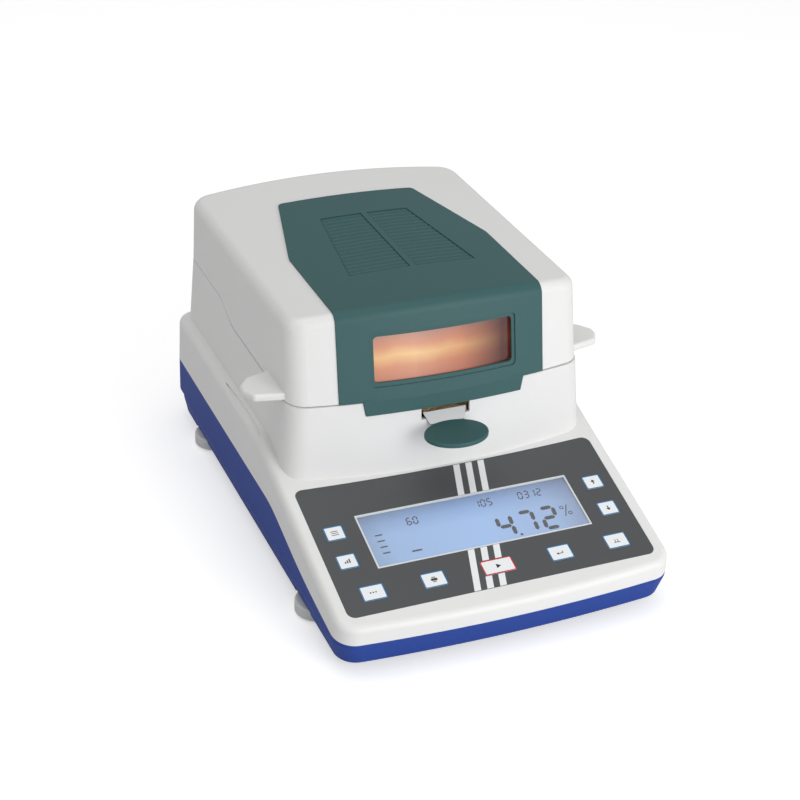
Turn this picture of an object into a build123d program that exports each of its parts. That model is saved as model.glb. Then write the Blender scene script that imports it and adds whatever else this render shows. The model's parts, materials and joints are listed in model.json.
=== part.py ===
from build123d import *
from math import cos, radians, sin, tan
import os

# Bench moisture analyser. Millimetres, +Z up, front towards -Y.
# The origin is the middle of the footprint, on the bench.

os.makedirs("parts", exist_ok=True)

# Lower body
base_half = 118.0
base_front = -181.0
base_rear = 181.0
base_front_bow = 5.6
base_rear_bow = 4.0
base_corner = 15.0
base_top_half = 117.0
tray_bottom = 6.5
tray_bottom_half = 114.5
tray_straight_z = 22.0
tray_edge_round = 4.0
tray_notch_z = 24.0
tray_notch_y = 171.0
seam_z = 50.0
shoulder_z = 84.0
wall = 2.5
reach = 260.0
cut_over = 20.0
front_cut = (-86.0, -26.0)
tray_seam_points = ((-200.0, tray_straight_z), (-145.0, 28.0), (-99.0, 36.0), (-62.0, 46.0), (-34.0, seam_z))

# Sloping console: its plane, film and display
console_slope = 15.9
console_y = -66.6
console_z = 67.75
console_wall = 3.2
console_round = 5.0
bend_y = -50.0
film_half = 108.3
film_length = 105.0
film_bow = 3.0
film_corner = 5.5
film_depth = 1.1
backing_depth = 0.6
film_clearance = 0.15
display_half = 75.5
display_top = 28.0
display_bottom = 70.8
bezel_width = 1.1
bezel_proud = 0.1
window_depth = 1.0
display_gap = 0.3
display_cut = 12.0
module_margin = 3.5
module_depth = 6.0

# Keys
key_column_x = 93.7
key_rows = (37.5, 61.5)
key_side_size = (13.0, 11.5)
key_bottom_v = 89.0
key_bottom_x = (-86.4, -44.9, 44.9, 86.4)
key_bottom_size = (16.0, 11.8)
start_key_size = (22.0, 11.5)
key_corner = 1.2
key_thickness = 0.6
key_proud = 0.05
key_travel = 0.4
key_clearance = 0.12
dome_radius = 2.0
dome_gap = 0.05

# Tower that holds the heating chamber
tower_low_z = 60.0
tower_high_z = 136.0
tower_low_half = 110.4
tower_high_half = 105.2
tower_low_front = -65.8
tower_high_front = -57.4
tower_rear = 181.0
tower_bow = 9.5
tower_rear_bow = 4.0
tower_corner = 15.0
chamber_floor_z = 100.5
chamber_rear = 98.0
deck_thickness = 2.5
rear_block_y = 168.0
rear_block_z = 121.0
lid_seam_low = 121.5
lid_seam_high = 131.5
lid_seam_y = (65.0, 105.0)
notch_half_top = 58.7
notch_half_low = 56.2
notch_z = 112.0
lens_x = 113.8
lens_y = (-20.0, 63.0)
lens_width = 4.0
lens_depth = 1.5

# Lid
lid_gap = 0.7
lid_low_z = 110.0
lid_high_z = 190.0
lid_low_half = 106.0
lid_high_half = 104.5
lid_low_front = -62.0
lid_high_front = -45.9
lid_low_rear = 181.0
lid_high_rear = 178.7
lid_bow = 12.0
lid_rear_bow = 4.0
lid_corner = 15.0
crown_z = 184.0
crown_radius = 860.0
lid_round = 7.5
lid_post_inset = 22.0
lid_post_gap = 0.02
lid_post_y = (-20.0, 60.0)
grip_half = 130.0
grip_root = (-38.0, -4.0)
grip_tip = (-34.0, -9.0)
grip_z = (122.4, 127.6)
buffer_y = (-30.0, 40.0)
buffer_width = 1.6
buffer_half = 5.0

# Coloured insert of the lid
insert_skin = 1.5
insert_proud = 1.0
insert_clearance = 0.1
insert_rear = 130.0
insert_rear_half = 52.0
insert_kink_y = 45.0
insert_half = 73.7
insert_low_z = 122.3
tab_half_top = 58.3
tab_half_low = 55.8
tab_low_z = 112.4
window_half = 49.5
window_z = (134.0, 165.0)
window_rim = 2.6
window_lap = 1.5
window_bevel = 0.9
window_corner = 3.0
louvre_channel = 4.4
louvre_front = (46.0, 4.0)
louvre_rear = (33.0, 95.0)
louvre_depth = 0.8
glass_depth = 1.2

# Hinge of the lid
hinge_y = 176.8
hinge_z = 131.5
knuckle_radius = 3.6
groove_radius = 4.3
pin_radius = 1.5
pin_clearance = 0.05
pin_seat = 0.01
knuckle_x = 68.0
knuckle_width = 12.0
ear_width = 3.5
ear_gap = 0.4
bracket_depth = 7.5
hinge_arm_sheet = 3.0
hinge_notch_gap = 0.5

# Heating unit in the lid
plate_z = 133.0
plate_thickness = 1.0
plate_rear = 168.0
plate_gap = 0.4
pan_y = 18.0
lamp_window_half = 60.0
lamp_window_depth = 46.0
glass_margin = 3.0
clip = 8.0
clip_lap = 2.0
clip_sheet = 1.0
protective_glass_depth = 3.0
reflector_radius = 30.0
reflector_sheet = 0.8
reflector_half = 58.0
reflector_turn = 140.0
lamp_z = 148.0
lamp_radius = 5.0
lamp_wall = 1.0
lamp_half = 50.0
filament_radius = 1.2
holder_size = (8.0, 14.0)
sensor_radius = 2.0
sensor_length = 9.0

# Weighing gear
pan_radius = 46.0
pan_rim_radius = 48.0
pan_sheet = 0.6
pan_height = 7.5
pan_floor_z = 108.7
arm_reach = 38.0
arm_width = 7.0
arm_thickness = 1.5
stem_radius = 3.0
stem_clearance = 0.05
stem_hole = 8.0
stem_foot_z = 62.0
ring_inner = 40.5
ring_outer = 51.0
ring_z = 107.0
ring_sheet = 1.0
neck_half = 15.5
neck_tip_half = 12.0
neck_bend_y = -59.0
neck_foot_y = -64.4
neck_end_y = -75.0
neck_drop = 6.6
slot_half = 17.5
slot_z = 104.0
paddle_half = 22.3
paddle_y = (-95.0, -63.0)
paddle_thickness = 3.2
beam_half = 13.0
beam_z = (58.0, 80.0)
beam_y = (4.0, 130.0)
base_block_half = 20.0
base_block_y = 98.0

# Chamber lining
liner_sheet = 0.8
liner_gap = 0.5
liner_top = 119.0
post_radius = 3.0
insulation_half = 90.0
insulation_y = (-40.0, 90.0)
insulation_thickness = 4.0

# Feet
foot_x = 105.0
foot_y = (-104.0, 118.0)
wheel_radius = 15.0
wheel_z = (2.0, 10.0)
sole_radius = 11.5
stud_radius = 3.0
stud_top = 30.0
stud_clearance = 0.05
foot_pocket_radius = 18.0
foot_pocket_z = 11.6
foot_boss_radius = 7.0
foot_boss_z = 22.0
nut_height = 5.0
nut_flats_radius = 5.5

# Housing screws
screw_x = 98.0
screw_y = (-150.0, 150.0)
screw_radius = 2.0
screw_clearance = 0.2
screw_seat = 0.01
screw_head_radius = 3.6
screw_head = 2.6
screw_length = 20.0
boss_radius = 5.0
boss_foot_z = 12.5

# Rear connector panel
panel_half = 80.0
panel_y = 172.0
panel_z = (54.5, 78.5)
panel_frame = 2.5
inlet_x = -45.0
inlet_size = (27.0, 19.6)
inlet_flange = (49.0, 22.0)
flange_thickness = 2.0
inlet_depth = 24.0
socket_size = (23.4, 11.4)
socket_depth = 16.0
drawer_size = (20.0, 4.0)
drawer_length = 20.0
drawer_gap = 0.3
blade_size = (4.0, 2.0)
blade_spacing = 7.0
blade_length = 13.0
switch_x = -2.0
switch_size = (13.0, 19.4)
switch_flange = (15.0, 21.0)
switch_depth = 16.0
rocker_size = (9.6, 15.6)
rocker_tilt = 8.0
rocker_pivot = 4.0
rocker_thickness = 3.0
rocker_pin = 1.0
rocker_clearance = 0.15
rocker_root = (2.2, 3.0)
rocker_lip = 1.6
serial_x = 45.0
serial_flange = (31.0, 12.5)
serial_shell = (17.0, 9.0)
serial_reach = 5.8
serial_depth = 9.0

# Boards
board_thickness = 1.6
board_z = 20.0
main_board_half = 70.0
main_board_y = (-150.0, -60.0)
supply_x = (-90.0, -27.0)
supply_y = (62.0, 160.0)
board_post_radius = 3.5
board_post_inset = 6.0
chip_size = (16.0, 16.0, 2.5)
chip_x = (-40.0, -10.0, 25.0)
transformer_size = (38.0, 34.0, 28.0)
capacitor_radius = 9.0
capacitor_height = 24.0

# Bubble level
level_x = 82.0
level_y = -33.0
level_radius = 6.5
level_height = 7.0

# Worked out from the sizes above
slope = radians(console_slope)
tray_floor_z = tray_bottom + wall
console_plane = Plane(
    origin=(0, console_y, console_z), x_dir=(1, 0, 0), z_dir=(0, -sin(slope), cos(slope)))
film_down = film_depth + backing_depth
display_middle = (display_top + display_bottom) / 2
display_height = display_bottom - display_top
panel_middle = (panel_z[0] + panel_z[1]) / 2


def save(part, name):
    """Label a finished piece and write it."""
    part.label = name
    export_step(part, f"parts/{name}.step")


def outline(half, front, rear, front_bow, rear_bow, corner, grow=0.0):
    """Plan outline: straight sides, bowed front and rear, round corners."""
    side = half + grow
    front_side = front - grow + front_bow
    rear_side = rear + grow - rear_bow
    with BuildSketch() as plan:
        with BuildLine():
            ThreePointArc((-side, front_side), (0, front - grow), (side, front_side))
            Line((side, front_side), (side, rear_side))
            ThreePointArc((side, rear_side), (0, rear + grow), (-side, rear_side))
            Line((-side, rear_side), (-side, front_side))
        make_face()
        fillet(plan.vertices(), radius=corner + grow)
    return plan.sketch


def drafted(low, low_z, high, high_z):
    """Solid with straight drafted walls between two outlines."""
    with BuildPart() as form:
        with BuildSketch(Plane.XY.offset(low_z)):
            add(low)
        with BuildSketch(Plane.XY.offset(high_z)):
            add(high)
        loft(ruled=True)
    return form.part


def block(x, y, z):
    """Box between two values on each axis."""
    with BuildPart() as form:
        with Locations((x[0], y[0], z[0])):
            Box(x[1] - x[0], y[1] - y[0], z[1] - z[0], align=(Align.MIN, Align.MIN, Align.MIN))
    return form.part


def rod(radius, x, y, z_low, z_high):
    """Upright round bar."""
    with BuildPart() as form:
        with Locations((x, y, z_low)):
            Cylinder(radius, z_high - z_low, align=(Align.CENTER, Align.CENTER, Align.MIN))
    return form.part


def cross_rod(radius, x_low, x_high, y, z):
    """Round bar along X."""
    with BuildPart() as form:
        with BuildSketch(Plane.YZ.offset(x_low)):
            with Locations((y, z)):
                Circle(radius)
        extrude(amount=x_high - x_low)
    return form.part


def base_form(grow):
    """Outer form of the lower body above the straight part of the tray, offset by grow."""
    low = outline(base_half, base_front, base_rear, base_front_bow, base_rear_bow, base_corner, grow)
    high = outline(base_top_half, base_front, base_rear, base_front_bow, base_rear_bow, base_corner, grow)
    return drafted(low, seam_z, high, shoulder_z + wall)


def base_straight(grow, low_z, high_z, rear=base_rear):
    """Straight-walled stretch of the lower body, offset by grow."""
    plan = outline(base_half, base_front, rear, base_front_bow, base_rear_bow, base_corner, grow)
    return drafted(plan, low_z, plan, high_z)


def tower_form(grow, low_z=tower_low_z):
    """Outer form of the tower, offset by grow."""
    low = outline(tower_low_half, tower_low_front, tower_rear, tower_bow, tower_rear_bow, tower_corner, grow)
    high = outline(tower_high_half, tower_high_front, tower_rear, tower_bow, tower_rear_bow, tower_corner, grow)
    return drafted(low, low_z, high, tower_high_z)


def lid_form(grow, rounded=True):
    """Outer form of the lid with its crown and rounded top edge, offset by grow."""
    low = outline(lid_low_half, lid_low_front, lid_low_rear, lid_bow, lid_rear_bow, lid_corner, grow)
    high = outline(lid_high_half, lid_high_front, lid_high_rear, lid_bow, lid_rear_bow, lid_corner, grow)
    with BuildPart() as form:
        add(drafted(low, lid_low_z, high, lid_high_z))
        with BuildSketch(Plane.XZ):
            with Locations((0, crown_z - crown_radius)):
                Circle(crown_radius + grow)
        extrude(amount=reach, both=True, mode=Mode.INTERSECT)
        if rounded:
            top = form.faces().sort_by(Axis.Z)[-1]
            fillet(top.edges(), radius=lid_round + grow)
    return form.part


def tray_seam_space(far_z):
    """Space between the curved seam of the lower body and the level far_z."""
    with BuildPart() as space:
        with BuildSketch(Plane.YZ):
            with BuildLine():
                first = tray_seam_points[0]
                last = tray_seam_points[-1]
                Spline(*tray_seam_points, tangents=((1, 0.08), (1, 0)))
                Polyline(last, (reach, last[1]), (reach, far_z), (first[0], far_z), first)
            make_face()
        extrude(amount=reach, both=True)
    return space.part


def space_over_base(drop):
    """Space above the console and the shoulder, lowered by drop."""
    front = -reach
    front_z = console_z + (front - console_y) * tan(slope)
    bend_z = console_z + (bend_y - console_y) * tan(slope)
    with BuildPart() as space:
        with BuildSketch(Plane.YZ.shift_origin((0, 0, -drop))):
            with BuildLine():
                Line((front, front_z), (bend_y, bend_z))
                Spline((bend_y, bend_z), (0, shoulder_z), tangents=((cos(slope), sin(slope)), (1, 0)))
                Polyline((0, shoulder_z), (reach, shoulder_z), (reach, reach), (front, reach), (front, front_z))
            make_face()
        extrude(amount=reach, both=True)
    return space.part


def lid_seam_space(lift, far_z):
    """Space between the seam of the lid, raised by lift, and the level far_z."""
    low = lid_seam_low + lift
    high = lid_seam_high + lift
    with BuildPart() as space:
        with BuildSketch(Plane.YZ):
            with BuildLine():
                Line((-reach, low), (lid_seam_y[0], low))
                Spline((lid_seam_y[0], low), (lid_seam_y[1], high), tangents=((1, 0), (1, 0)))
                Polyline((lid_seam_y[1], high), (reach, high), (reach, far_z), (-reach, far_z), (-reach, low))
            make_face()
        extrude(amount=reach, both=True)
    return space.part


def film_outline(grow):
    """Outline of the film on the console; local -Y runs down the slope."""
    side = film_half + grow
    top_side = film_bow + grow
    with BuildSketch() as plan:
        with BuildLine():
            ThreePointArc((-side, top_side), (0, grow), (side, top_side))
            foot = -film_length - grow
            Polyline((side, top_side), (side, foot), (-side, foot), (-side, top_side))
        make_face()
        fillet(plan.vertices(), radius=film_corner + grow)
    return plan.sketch


def console_sheet(sketch, top, thickness):
    """Sheet of the given outline, whose upper face lies top below the console."""
    with BuildPart() as sheet:
        with BuildSketch(console_plane.offset(-top)):
            add(sketch)
        extrude(amount=-thickness)
    return sheet.part


def console_rectangle(x, v, width, height, corner=0.0):
    """Rectangle on the console, v down the slope from the top of the film."""
    with BuildSketch() as plan:
        with Locations((x, -v)):
            if corner > 0:
                RectangleRounded(width, height, corner)
            else:
                Rectangle(width, height)
    return plan.sketch


# Bottom tray
foot_places = [(x, y) for y in foot_y for x in (-foot_x, foot_x)]
screw_places = [(x, y) for y in screw_y for x in (-screw_x, screw_x)]


def tray_form(grow, low_z):
    """Tray form: flared foot, straight skirt and the step under its rear."""
    low = outline(
        tray_bottom_half, base_front + (base_half - tray_bottom_half), tray_notch_y,
        base_front_bow, base_rear_bow, base_corner, grow,
    )
    middle = outline(base_half, base_front, tray_notch_y, base_front_bow, base_rear_bow, base_corner, grow)
    with BuildPart() as form:
        add(drafted(low, low_z, middle, tray_straight_z))
        if grow == 0.0:
            fillet(form.edges().group_by(Axis.Z)[0], radius=tray_edge_round)
        add(base_straight(grow, tray_straight_z, tray_notch_z - grow, tray_notch_y))
        add(base_straight(grow, tray_notch_z - grow, shoulder_z))
    return form.part


with BuildPart() as bottom_tray:
    add(tray_form(0.0, tray_bottom))
    add(tray_form(-wall, tray_floor_z), mode=Mode.SUBTRACT)
    for x, y in foot_places:
        add(block((x - foot_pocket_radius - wall, x + foot_pocket_radius + wall),
                  (y - foot_pocket_radius - wall, y + foot_pocket_radius + wall),
                  (tray_bottom, foot_pocket_z + wall)))
        add(rod(foot_boss_radius, x, y, foot_pocket_z, foot_boss_z))
    add(tray_form(0.0, tray_bottom), mode=Mode.INTERSECT)
    for x, y in foot_places:
        add(rod(foot_pocket_radius, x, y, 0, foot_pocket_z), mode=Mode.SUBTRACT)
        add(rod(stud_radius + stud_clearance, x, y, 0, foot_boss_z), mode=Mode.SUBTRACT)
    for x, y in screw_places:
        add(rod(screw_radius + screw_clearance, x, y, 0, boss_foot_z), mode=Mode.SUBTRACT)
    for x in (-main_board_half + board_post_inset, main_board_half - board_post_inset):
        for y in (main_board_y[0] + board_post_inset, main_board_y[1] - board_post_inset):
            add(rod(board_post_radius, x, y, tray_floor_z, board_z))
    for x in (supply_x[0] + board_post_inset, supply_x[1] - board_post_inset):
        for y in (supply_y[0] + board_post_inset, supply_y[1] - board_post_inset):
            add(rod(board_post_radius, x, y, tray_floor_z, board_z))
    add(tray_seam_space(reach), mode=Mode.SUBTRACT)
save(bottom_tray.part, "bottom_tray")

# Upper housing: skirt, console, shoulder and tower in one moulding
with BuildPart() as skirt:
    add(base_straight(0.0, tray_straight_z - wall, seam_z))
    add(base_form(0.0))
    add(space_over_base(0.0), mode=Mode.SUBTRACT)
    rim = skirt.edges().filter_by(lambda edge: edge.center().Z > tray_straight_z and (
        abs(edge.center().X) > base_top_half - wall or abs(edge.center().Y) > base_rear - base_corner))
    top_faces = skirt.faces().filter_by(lambda face: face.normal_at().Z > 0.9)
    top_edges = top_faces.edges()
    rim = rim.filter_by(lambda edge: any(edge.is_same(other) for other in top_edges))
    fillet(rim, radius=console_round)

# Hollow below the console and the shoulder
under_console = space_over_base(console_wall / cos(slope))
with BuildPart() as base_hollow:
    add(base_straight(-wall, tray_straight_z - 2 * wall, seam_z))
    add(base_form(-wall))
    add(under_console, mode=Mode.SUBTRACT)

# Hollow of the tower, under the deck and the rear block
with BuildPart() as tower_hollow:
    add(tower_form(-wall))
    add(block((-reach, reach), (-reach, chamber_rear + wall), (chamber_floor_z - deck_thickness, reach)),
        mode=Mode.SUBTRACT)
    add(block((-reach, reach), (chamber_rear, reach), (lid_seam_high - deck_thickness, reach)),
        mode=Mode.SUBTRACT)
    add(block((-reach, reach), (rear_block_y, reach), (rear_block_z, reach)), mode=Mode.SUBTRACT)
    add(under_console, mode=Mode.INTERSECT)

with BuildPart() as chamber_recess:
    add(tower_form(-wall))
    add(block((-reach, reach), (-reach, chamber_rear), (chamber_floor_z, reach)), mode=Mode.INTERSECT)

# Wall behind the connector panel, sunk into the rear
with BuildPart() as panel_block:
    add(base_form(0.0))
    add(block((-panel_half - panel_frame, panel_half + panel_frame), (panel_y - wall, reach),
              (panel_z[0] - panel_frame, panel_z[1] + panel_frame)), mode=Mode.INTERSECT)


def screw_boss(x, y):
    """Boss for a housing screw, cut off below the console."""
    with BuildPart() as boss:
        add(rod(boss_radius, x, y, boss_foot_z, lid_seam_high - deck_thickness / 2))
        if y < 0:
            add(space_over_base(console_wall / 2), mode=Mode.SUBTRACT)
    return boss.part


with BuildPart() as upper_housing:
    add(skirt.part)
    add(tower_form(0.0))
    add(tray_seam_space(-reach), mode=Mode.SUBTRACT)
    add(lid_seam_space(0.0, reach), mode=Mode.SUBTRACT)
    add(base_hollow.part, mode=Mode.SUBTRACT)
    add(tower_hollow.part, mode=Mode.SUBTRACT)
    add(chamber_recess.part, mode=Mode.SUBTRACT)
    add(panel_block.part)
    add(block((-panel_half, panel_half), (panel_y, reach), panel_z), mode=Mode.SUBTRACT)
    for x, y in screw_places:
        add(screw_boss(x, y))
        add(rod(screw_radius + screw_seat, x, y, 0, boss_foot_z + screw_length), mode=Mode.SUBTRACT)
    # Notch for the tab of the lid and slot for the neck of the pan lifter
    with BuildSketch(Plane.XZ.offset(-front_cut[1])):
        with BuildLine():
            Polyline(
                (-notch_half_low, notch_z), (notch_half_low, notch_z), (notch_half_top, lid_seam_low + 5),
                (-notch_half_top, lid_seam_low + 5), close=True,
            )
        make_face()
    extrude(amount=front_cut[1] - front_cut[0], mode=Mode.SUBTRACT)
    add(block((-slot_half, slot_half), (tower_low_front - 5, tower_high_front + 12), (slot_z, notch_z + 1)),
        mode=Mode.SUBTRACT)
    # Hinge groove, open to the rear for the lid's rear wall, and bracket seats
    add(cross_rod(groove_radius, -reach, reach, hinge_y, hinge_z), mode=Mode.SUBTRACT)
    add(block((-reach, reach), (hinge_y, reach), (hinge_z - groove_radius, reach)), mode=Mode.SUBTRACT)
    for side in (-1, 1):
        half_seat = knuckle_width / 2 + ear_gap + ear_width
        add(block((side * knuckle_x - half_seat, side * knuckle_x + half_seat),
                  (hinge_y - knuckle_radius, hinge_y + knuckle_radius),
                  (hinge_z - bracket_depth, reach)), mode=Mode.SUBTRACT)
    # Hole for the weighing stem
    add(rod(stem_hole, 0, pan_y, beam_z[1], chamber_floor_z + 1), mode=Mode.SUBTRACT)
    # Film pocket and display opening
    add(console_sheet(film_outline(film_clearance), -cut_over, cut_over + film_down), mode=Mode.SUBTRACT)
    add(console_sheet(
        console_rectangle(0, display_middle, 2 * (display_half + module_margin) + film_clearance,
                          display_height + 2 * module_margin + film_clearance), 0, display_cut),
        mode=Mode.SUBTRACT)
    # Slim lens-shaped pocket in each shoulder
    lens_middle = (lens_y[0] + lens_y[1]) / 2
    for side in (-1, 1):
        with BuildSketch(Plane.XY.offset(shoulder_z + 1)) as lens:
            with BuildLine():
                ThreePointArc((side * lens_x, lens_y[0]), (side * lens_x + lens_width / 2, lens_middle),
                              (side * lens_x, lens_y[1]))
                ThreePointArc((side * lens_x, lens_y[1]), (side * lens_x - lens_width / 2, lens_middle),
                              (side * lens_x, lens_y[0]))
            make_face()
        extrude(amount=-lens_depth - 1, mode=Mode.SUBTRACT)
    # Cut-outs for the connectors
    for x, size in ((inlet_x, inlet_size), (switch_x, switch_size), (serial_x, serial_shell)):
        add(block((x - size[0] / 2, x + size[0] / 2), (panel_y - wall - 1, panel_y + 1),
                  (panel_middle - size[1] / 2, panel_middle + size[1] / 2)), mode=Mode.SUBTRACT)
save(upper_housing.part, "upper_housing")

# Film on the console with its windows, and the key plates under it
keys = [
    (f"key_{column}_{row}", side * key_column_x, v, key_side_size)
    for side, column in ((-1, "left"), (1, "right")) for row, v in zip(("upper", "lower"), key_rows)
]
bottom_names = ("key_menu", "key_print", "key_enter", "key_tare")
keys += [(name, x, key_bottom_v, key_bottom_size) for name, x in zip(bottom_names, key_bottom_x)]
keys.append(("key_start", 0.0, key_bottom_v, start_key_size))
display_width = 2 * display_half
module_width = display_width + 2 * module_margin
module_height = display_height + 2 * module_margin

with BuildPart() as keypad_foil:
    add(console_sheet(film_outline(0.0), 0.0, film_depth))
    add(console_sheet(
        console_rectangle(0, display_middle, display_width + 2 * bezel_width, display_height + 2 * bezel_width),
        -1.0, film_depth + 2), mode=Mode.SUBTRACT)
    for name, x, v, size in keys:
        add(console_sheet(
            console_rectangle(x, v, size[0] + 2 * key_clearance, size[1] + 2 * key_clearance,
                              key_corner + key_clearance), -1.0, film_depth + 2), mode=Mode.SUBTRACT)
save(keypad_foil.part, "keypad_foil")

with BuildPart() as keypad_board:
    add(console_sheet(film_outline(0.0), film_depth, backing_depth))
    add(console_sheet(console_rectangle(0, display_middle, display_width, display_height), 0.0, film_down + 1),
        mode=Mode.SUBTRACT)
save(keypad_board.part, "keypad_board")

for name, x, v, size in keys:
    with BuildPart() as key:
        add(console_sheet(console_rectangle(x, v, size[0], size[1], key_corner), -key_proud, key_thickness))
        with BuildSketch(console_plane.offset(key_proud - key_thickness)):
            with Locations((x, -v)):
                Circle(dome_radius)
        extrude(amount=-(film_depth + key_proud - key_thickness - key_travel - dome_gap))
    save(key.part, name)

with BuildPart() as display_frame:
    add(console_sheet(
        console_rectangle(0, display_middle, display_width + 2 * bezel_width, display_height + 2 * bezel_width),
        -bezel_proud, film_depth + bezel_proud))
    add(console_sheet(console_rectangle(0, display_middle, display_width, display_height), -1, film_depth + 2),
        mode=Mode.SUBTRACT)
save(display_frame.part, "display_frame")

with BuildPart() as display_window:
    add(console_sheet(console_rectangle(0, display_middle, display_width, display_height),
                      film_depth - window_depth, window_depth))
save(display_window.part, "display_window")

with BuildPart() as lcd_module:
    add(console_sheet(console_rectangle(0, display_middle, module_width, module_height),
                      film_down, module_depth))
    add(console_sheet(console_rectangle(0, display_middle, display_width, display_height),
                      film_depth + display_gap, film_down - film_depth - display_gap))
save(lcd_module.part, "lcd_module")

# Chamber lining, insulation and bubble level
liner_z = chamber_floor_z
with BuildPart() as liner_space:
    add(tower_form(-wall - liner_gap - liner_sheet))
    add(block((-reach, reach), (-reach, chamber_rear - liner_gap - liner_sheet),
              (liner_z + liner_sheet, reach)), mode=Mode.INTERSECT)

with BuildPart() as chamber_liner:
    add(tower_form(-wall - liner_gap))
    add(block((-reach, reach), (-reach, chamber_rear - liner_gap), (liner_z, liner_top)), mode=Mode.INTERSECT)
    add(liner_space.part, mode=Mode.SUBTRACT)
    add(block((-notch_half_top, notch_half_top), (tower_low_front, -40), (notch_z, reach)), mode=Mode.SUBTRACT)
    add(block((-slot_half, slot_half), (tower_low_front, -40), (slot_z, reach)), mode=Mode.SUBTRACT)
    post_ring = (ring_inner + ring_outer) / 2
    with Locations((0, pan_y, liner_z + liner_sheet)):
        with PolarLocations(post_ring, 3, start_angle=30):
            Cylinder(post_radius, ring_z - liner_z - liner_sheet, align=(Align.CENTER, Align.CENTER, Align.MIN))
    add(rod(stem_hole, 0, pan_y, liner_z - 1, liner_z + liner_sheet + 1), mode=Mode.SUBTRACT)
save(chamber_liner.part, "chamber_liner")

with BuildPart() as insulation_board:
    add(block((-insulation_half, insulation_half), insulation_y,
              (chamber_floor_z - deck_thickness - insulation_thickness, chamber_floor_z - deck_thickness)))
    add(rod(stem_hole, 0, pan_y, 0, chamber_floor_z), mode=Mode.SUBTRACT)
save(insulation_board.part, "insulation_board")

with BuildPart() as bubble_level:
    add(rod(level_radius, level_x, level_y, chamber_floor_z + liner_sheet,
            chamber_floor_z + liner_sheet + level_height))
save(bubble_level.part, "bubble_level")

# Weighing gear: load cell, its block, the pan support and the pan
with BuildPart() as load_cell_base:
    add(block((-base_block_half, base_block_half), (base_block_y, beam_y[1]), (tray_floor_z, beam_z[0])))
save(load_cell_base.part, "load_cell_base")

with BuildPart() as load_cell:
    add(block((-beam_half, beam_half), beam_y, beam_z))
    add(rod(stem_radius + stem_clearance, 0, pan_y, 0, chamber_floor_z), mode=Mode.SUBTRACT)
    flexure_z = (beam_z[0] + beam_z[1]) / 2
    flexure_radius = (beam_z[1] - beam_z[0]) / 2 - wall
    flexure_y = (pan_y + stem_radius + flexure_radius + wall, base_block_y - flexure_radius - wall)
    for y in flexure_y:
        add(cross_rod(flexure_radius, -reach, reach, y, flexure_z), mode=Mode.SUBTRACT)
    add(block((-reach, reach), flexure_y, (flexure_z - wall, flexure_z + wall)), mode=Mode.SUBTRACT)
save(load_cell.part, "load_cell")

with BuildPart() as pan_support:
    add(rod(stem_radius, 0, pan_y, stem_foot_z, pan_floor_z))
    with Locations((0, pan_y, pan_floor_z)):
        with PolarLocations(arm_reach / 2, 4, start_angle=45):
            Box(arm_reach, arm_width, arm_thickness, align=(Align.CENTER, Align.CENTER, Align.MAX))
        Cylinder(arm_width, arm_thickness, align=(Align.CENTER, Align.CENTER, Align.MAX))
save(pan_support.part, "pan_support")

pan_rim_z = pan_floor_z + pan_height
with BuildPart() as sample_pan:
    with BuildSketch(Plane.XZ.offset(-pan_y)):
        with BuildLine():
            Polyline(
                (0, pan_floor_z), (pan_radius - 1, pan_floor_z), (pan_rim_radius - 1, pan_rim_z),
                (pan_rim_radius, pan_rim_z), (pan_rim_radius, pan_rim_z + pan_sheet),
                (pan_rim_radius - 1 - pan_sheet, pan_rim_z + pan_sheet),
                (pan_radius - 1 - pan_sheet, pan_floor_z + pan_sheet), (0, pan_floor_z + pan_sheet),
                close=True,
            )
        make_face()
    revolve(axis=Axis((0, pan_y, 0), (0, 0, 1)))
save(sample_pan.part, "sample_pan")

# Pan lifter: flat ring, sloping neck and coloured paddle
with BuildPart() as neck:
    with BuildSketch(Plane.YZ):
        with BuildLine():
            Polyline(
                (pan_y - ring_inner - wall, ring_z), (neck_bend_y, ring_z),
                (neck_foot_y, ring_z - neck_drop), (neck_end_y, ring_z - neck_drop),
                (neck_end_y, ring_z - neck_drop + ring_sheet),
                (neck_foot_y + ring_sheet / 2, ring_z - neck_drop + ring_sheet),
                (neck_bend_y + ring_sheet / 2, ring_z + ring_sheet),
                (pan_y - ring_inner - wall, ring_z + ring_sheet),
                close=True,
            )
        make_face()
    extrude(amount=neck_half, both=True)
    with BuildSketch(Plane.XY.offset(ring_z - neck_drop - 1)):
        with BuildLine():
            Polyline(
                (-neck_half, 0), (-neck_half, neck_bend_y), (-neck_tip_half, neck_foot_y),
                (-neck_tip_half, neck_end_y), (neck_tip_half, neck_end_y), (neck_tip_half, neck_foot_y),
                (neck_half, neck_bend_y), (neck_half, 0), close=True,
            )
        make_face()
    extrude(amount=neck_drop + ring_sheet + 2, mode=Mode.INTERSECT)
    add(rod(ring_inner, 0, pan_y, ring_z - neck_drop, ring_z + ring_sheet + 1), mode=Mode.SUBTRACT)

with BuildPart() as lifter_ring:
    with BuildSketch(Plane.XY.offset(ring_z)):
        with Locations((0, pan_y)):
            Circle(ring_outer)
            Circle(ring_inner, mode=Mode.SUBTRACT)
    extrude(amount=ring_sheet)
    add(neck.part)
save(lifter_ring.part, "lifter_ring")

paddle_top = ring_z - neck_drop + ring_sheet + 0.8
with BuildPart() as lifter_paddle:
    paddle_length = paddle_y[1] - paddle_y[0]
    with BuildSketch(Plane.XY.offset(paddle_top)):
        with Locations((0, (paddle_y[0] + paddle_y[1]) / 2)):
            Ellipse(paddle_half, paddle_length / 2)
    extrude(amount=-paddle_thickness)
    fillet(lifter_paddle.edges().group_by(Axis.Z)[-1], radius=1.2)
    fillet(lifter_paddle.edges().group_by(Axis.Z)[0], radius=0.8)
    add(lifter_ring.part, mode=Mode.SUBTRACT)
save(lifter_paddle.part, "lifter_paddle")

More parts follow.
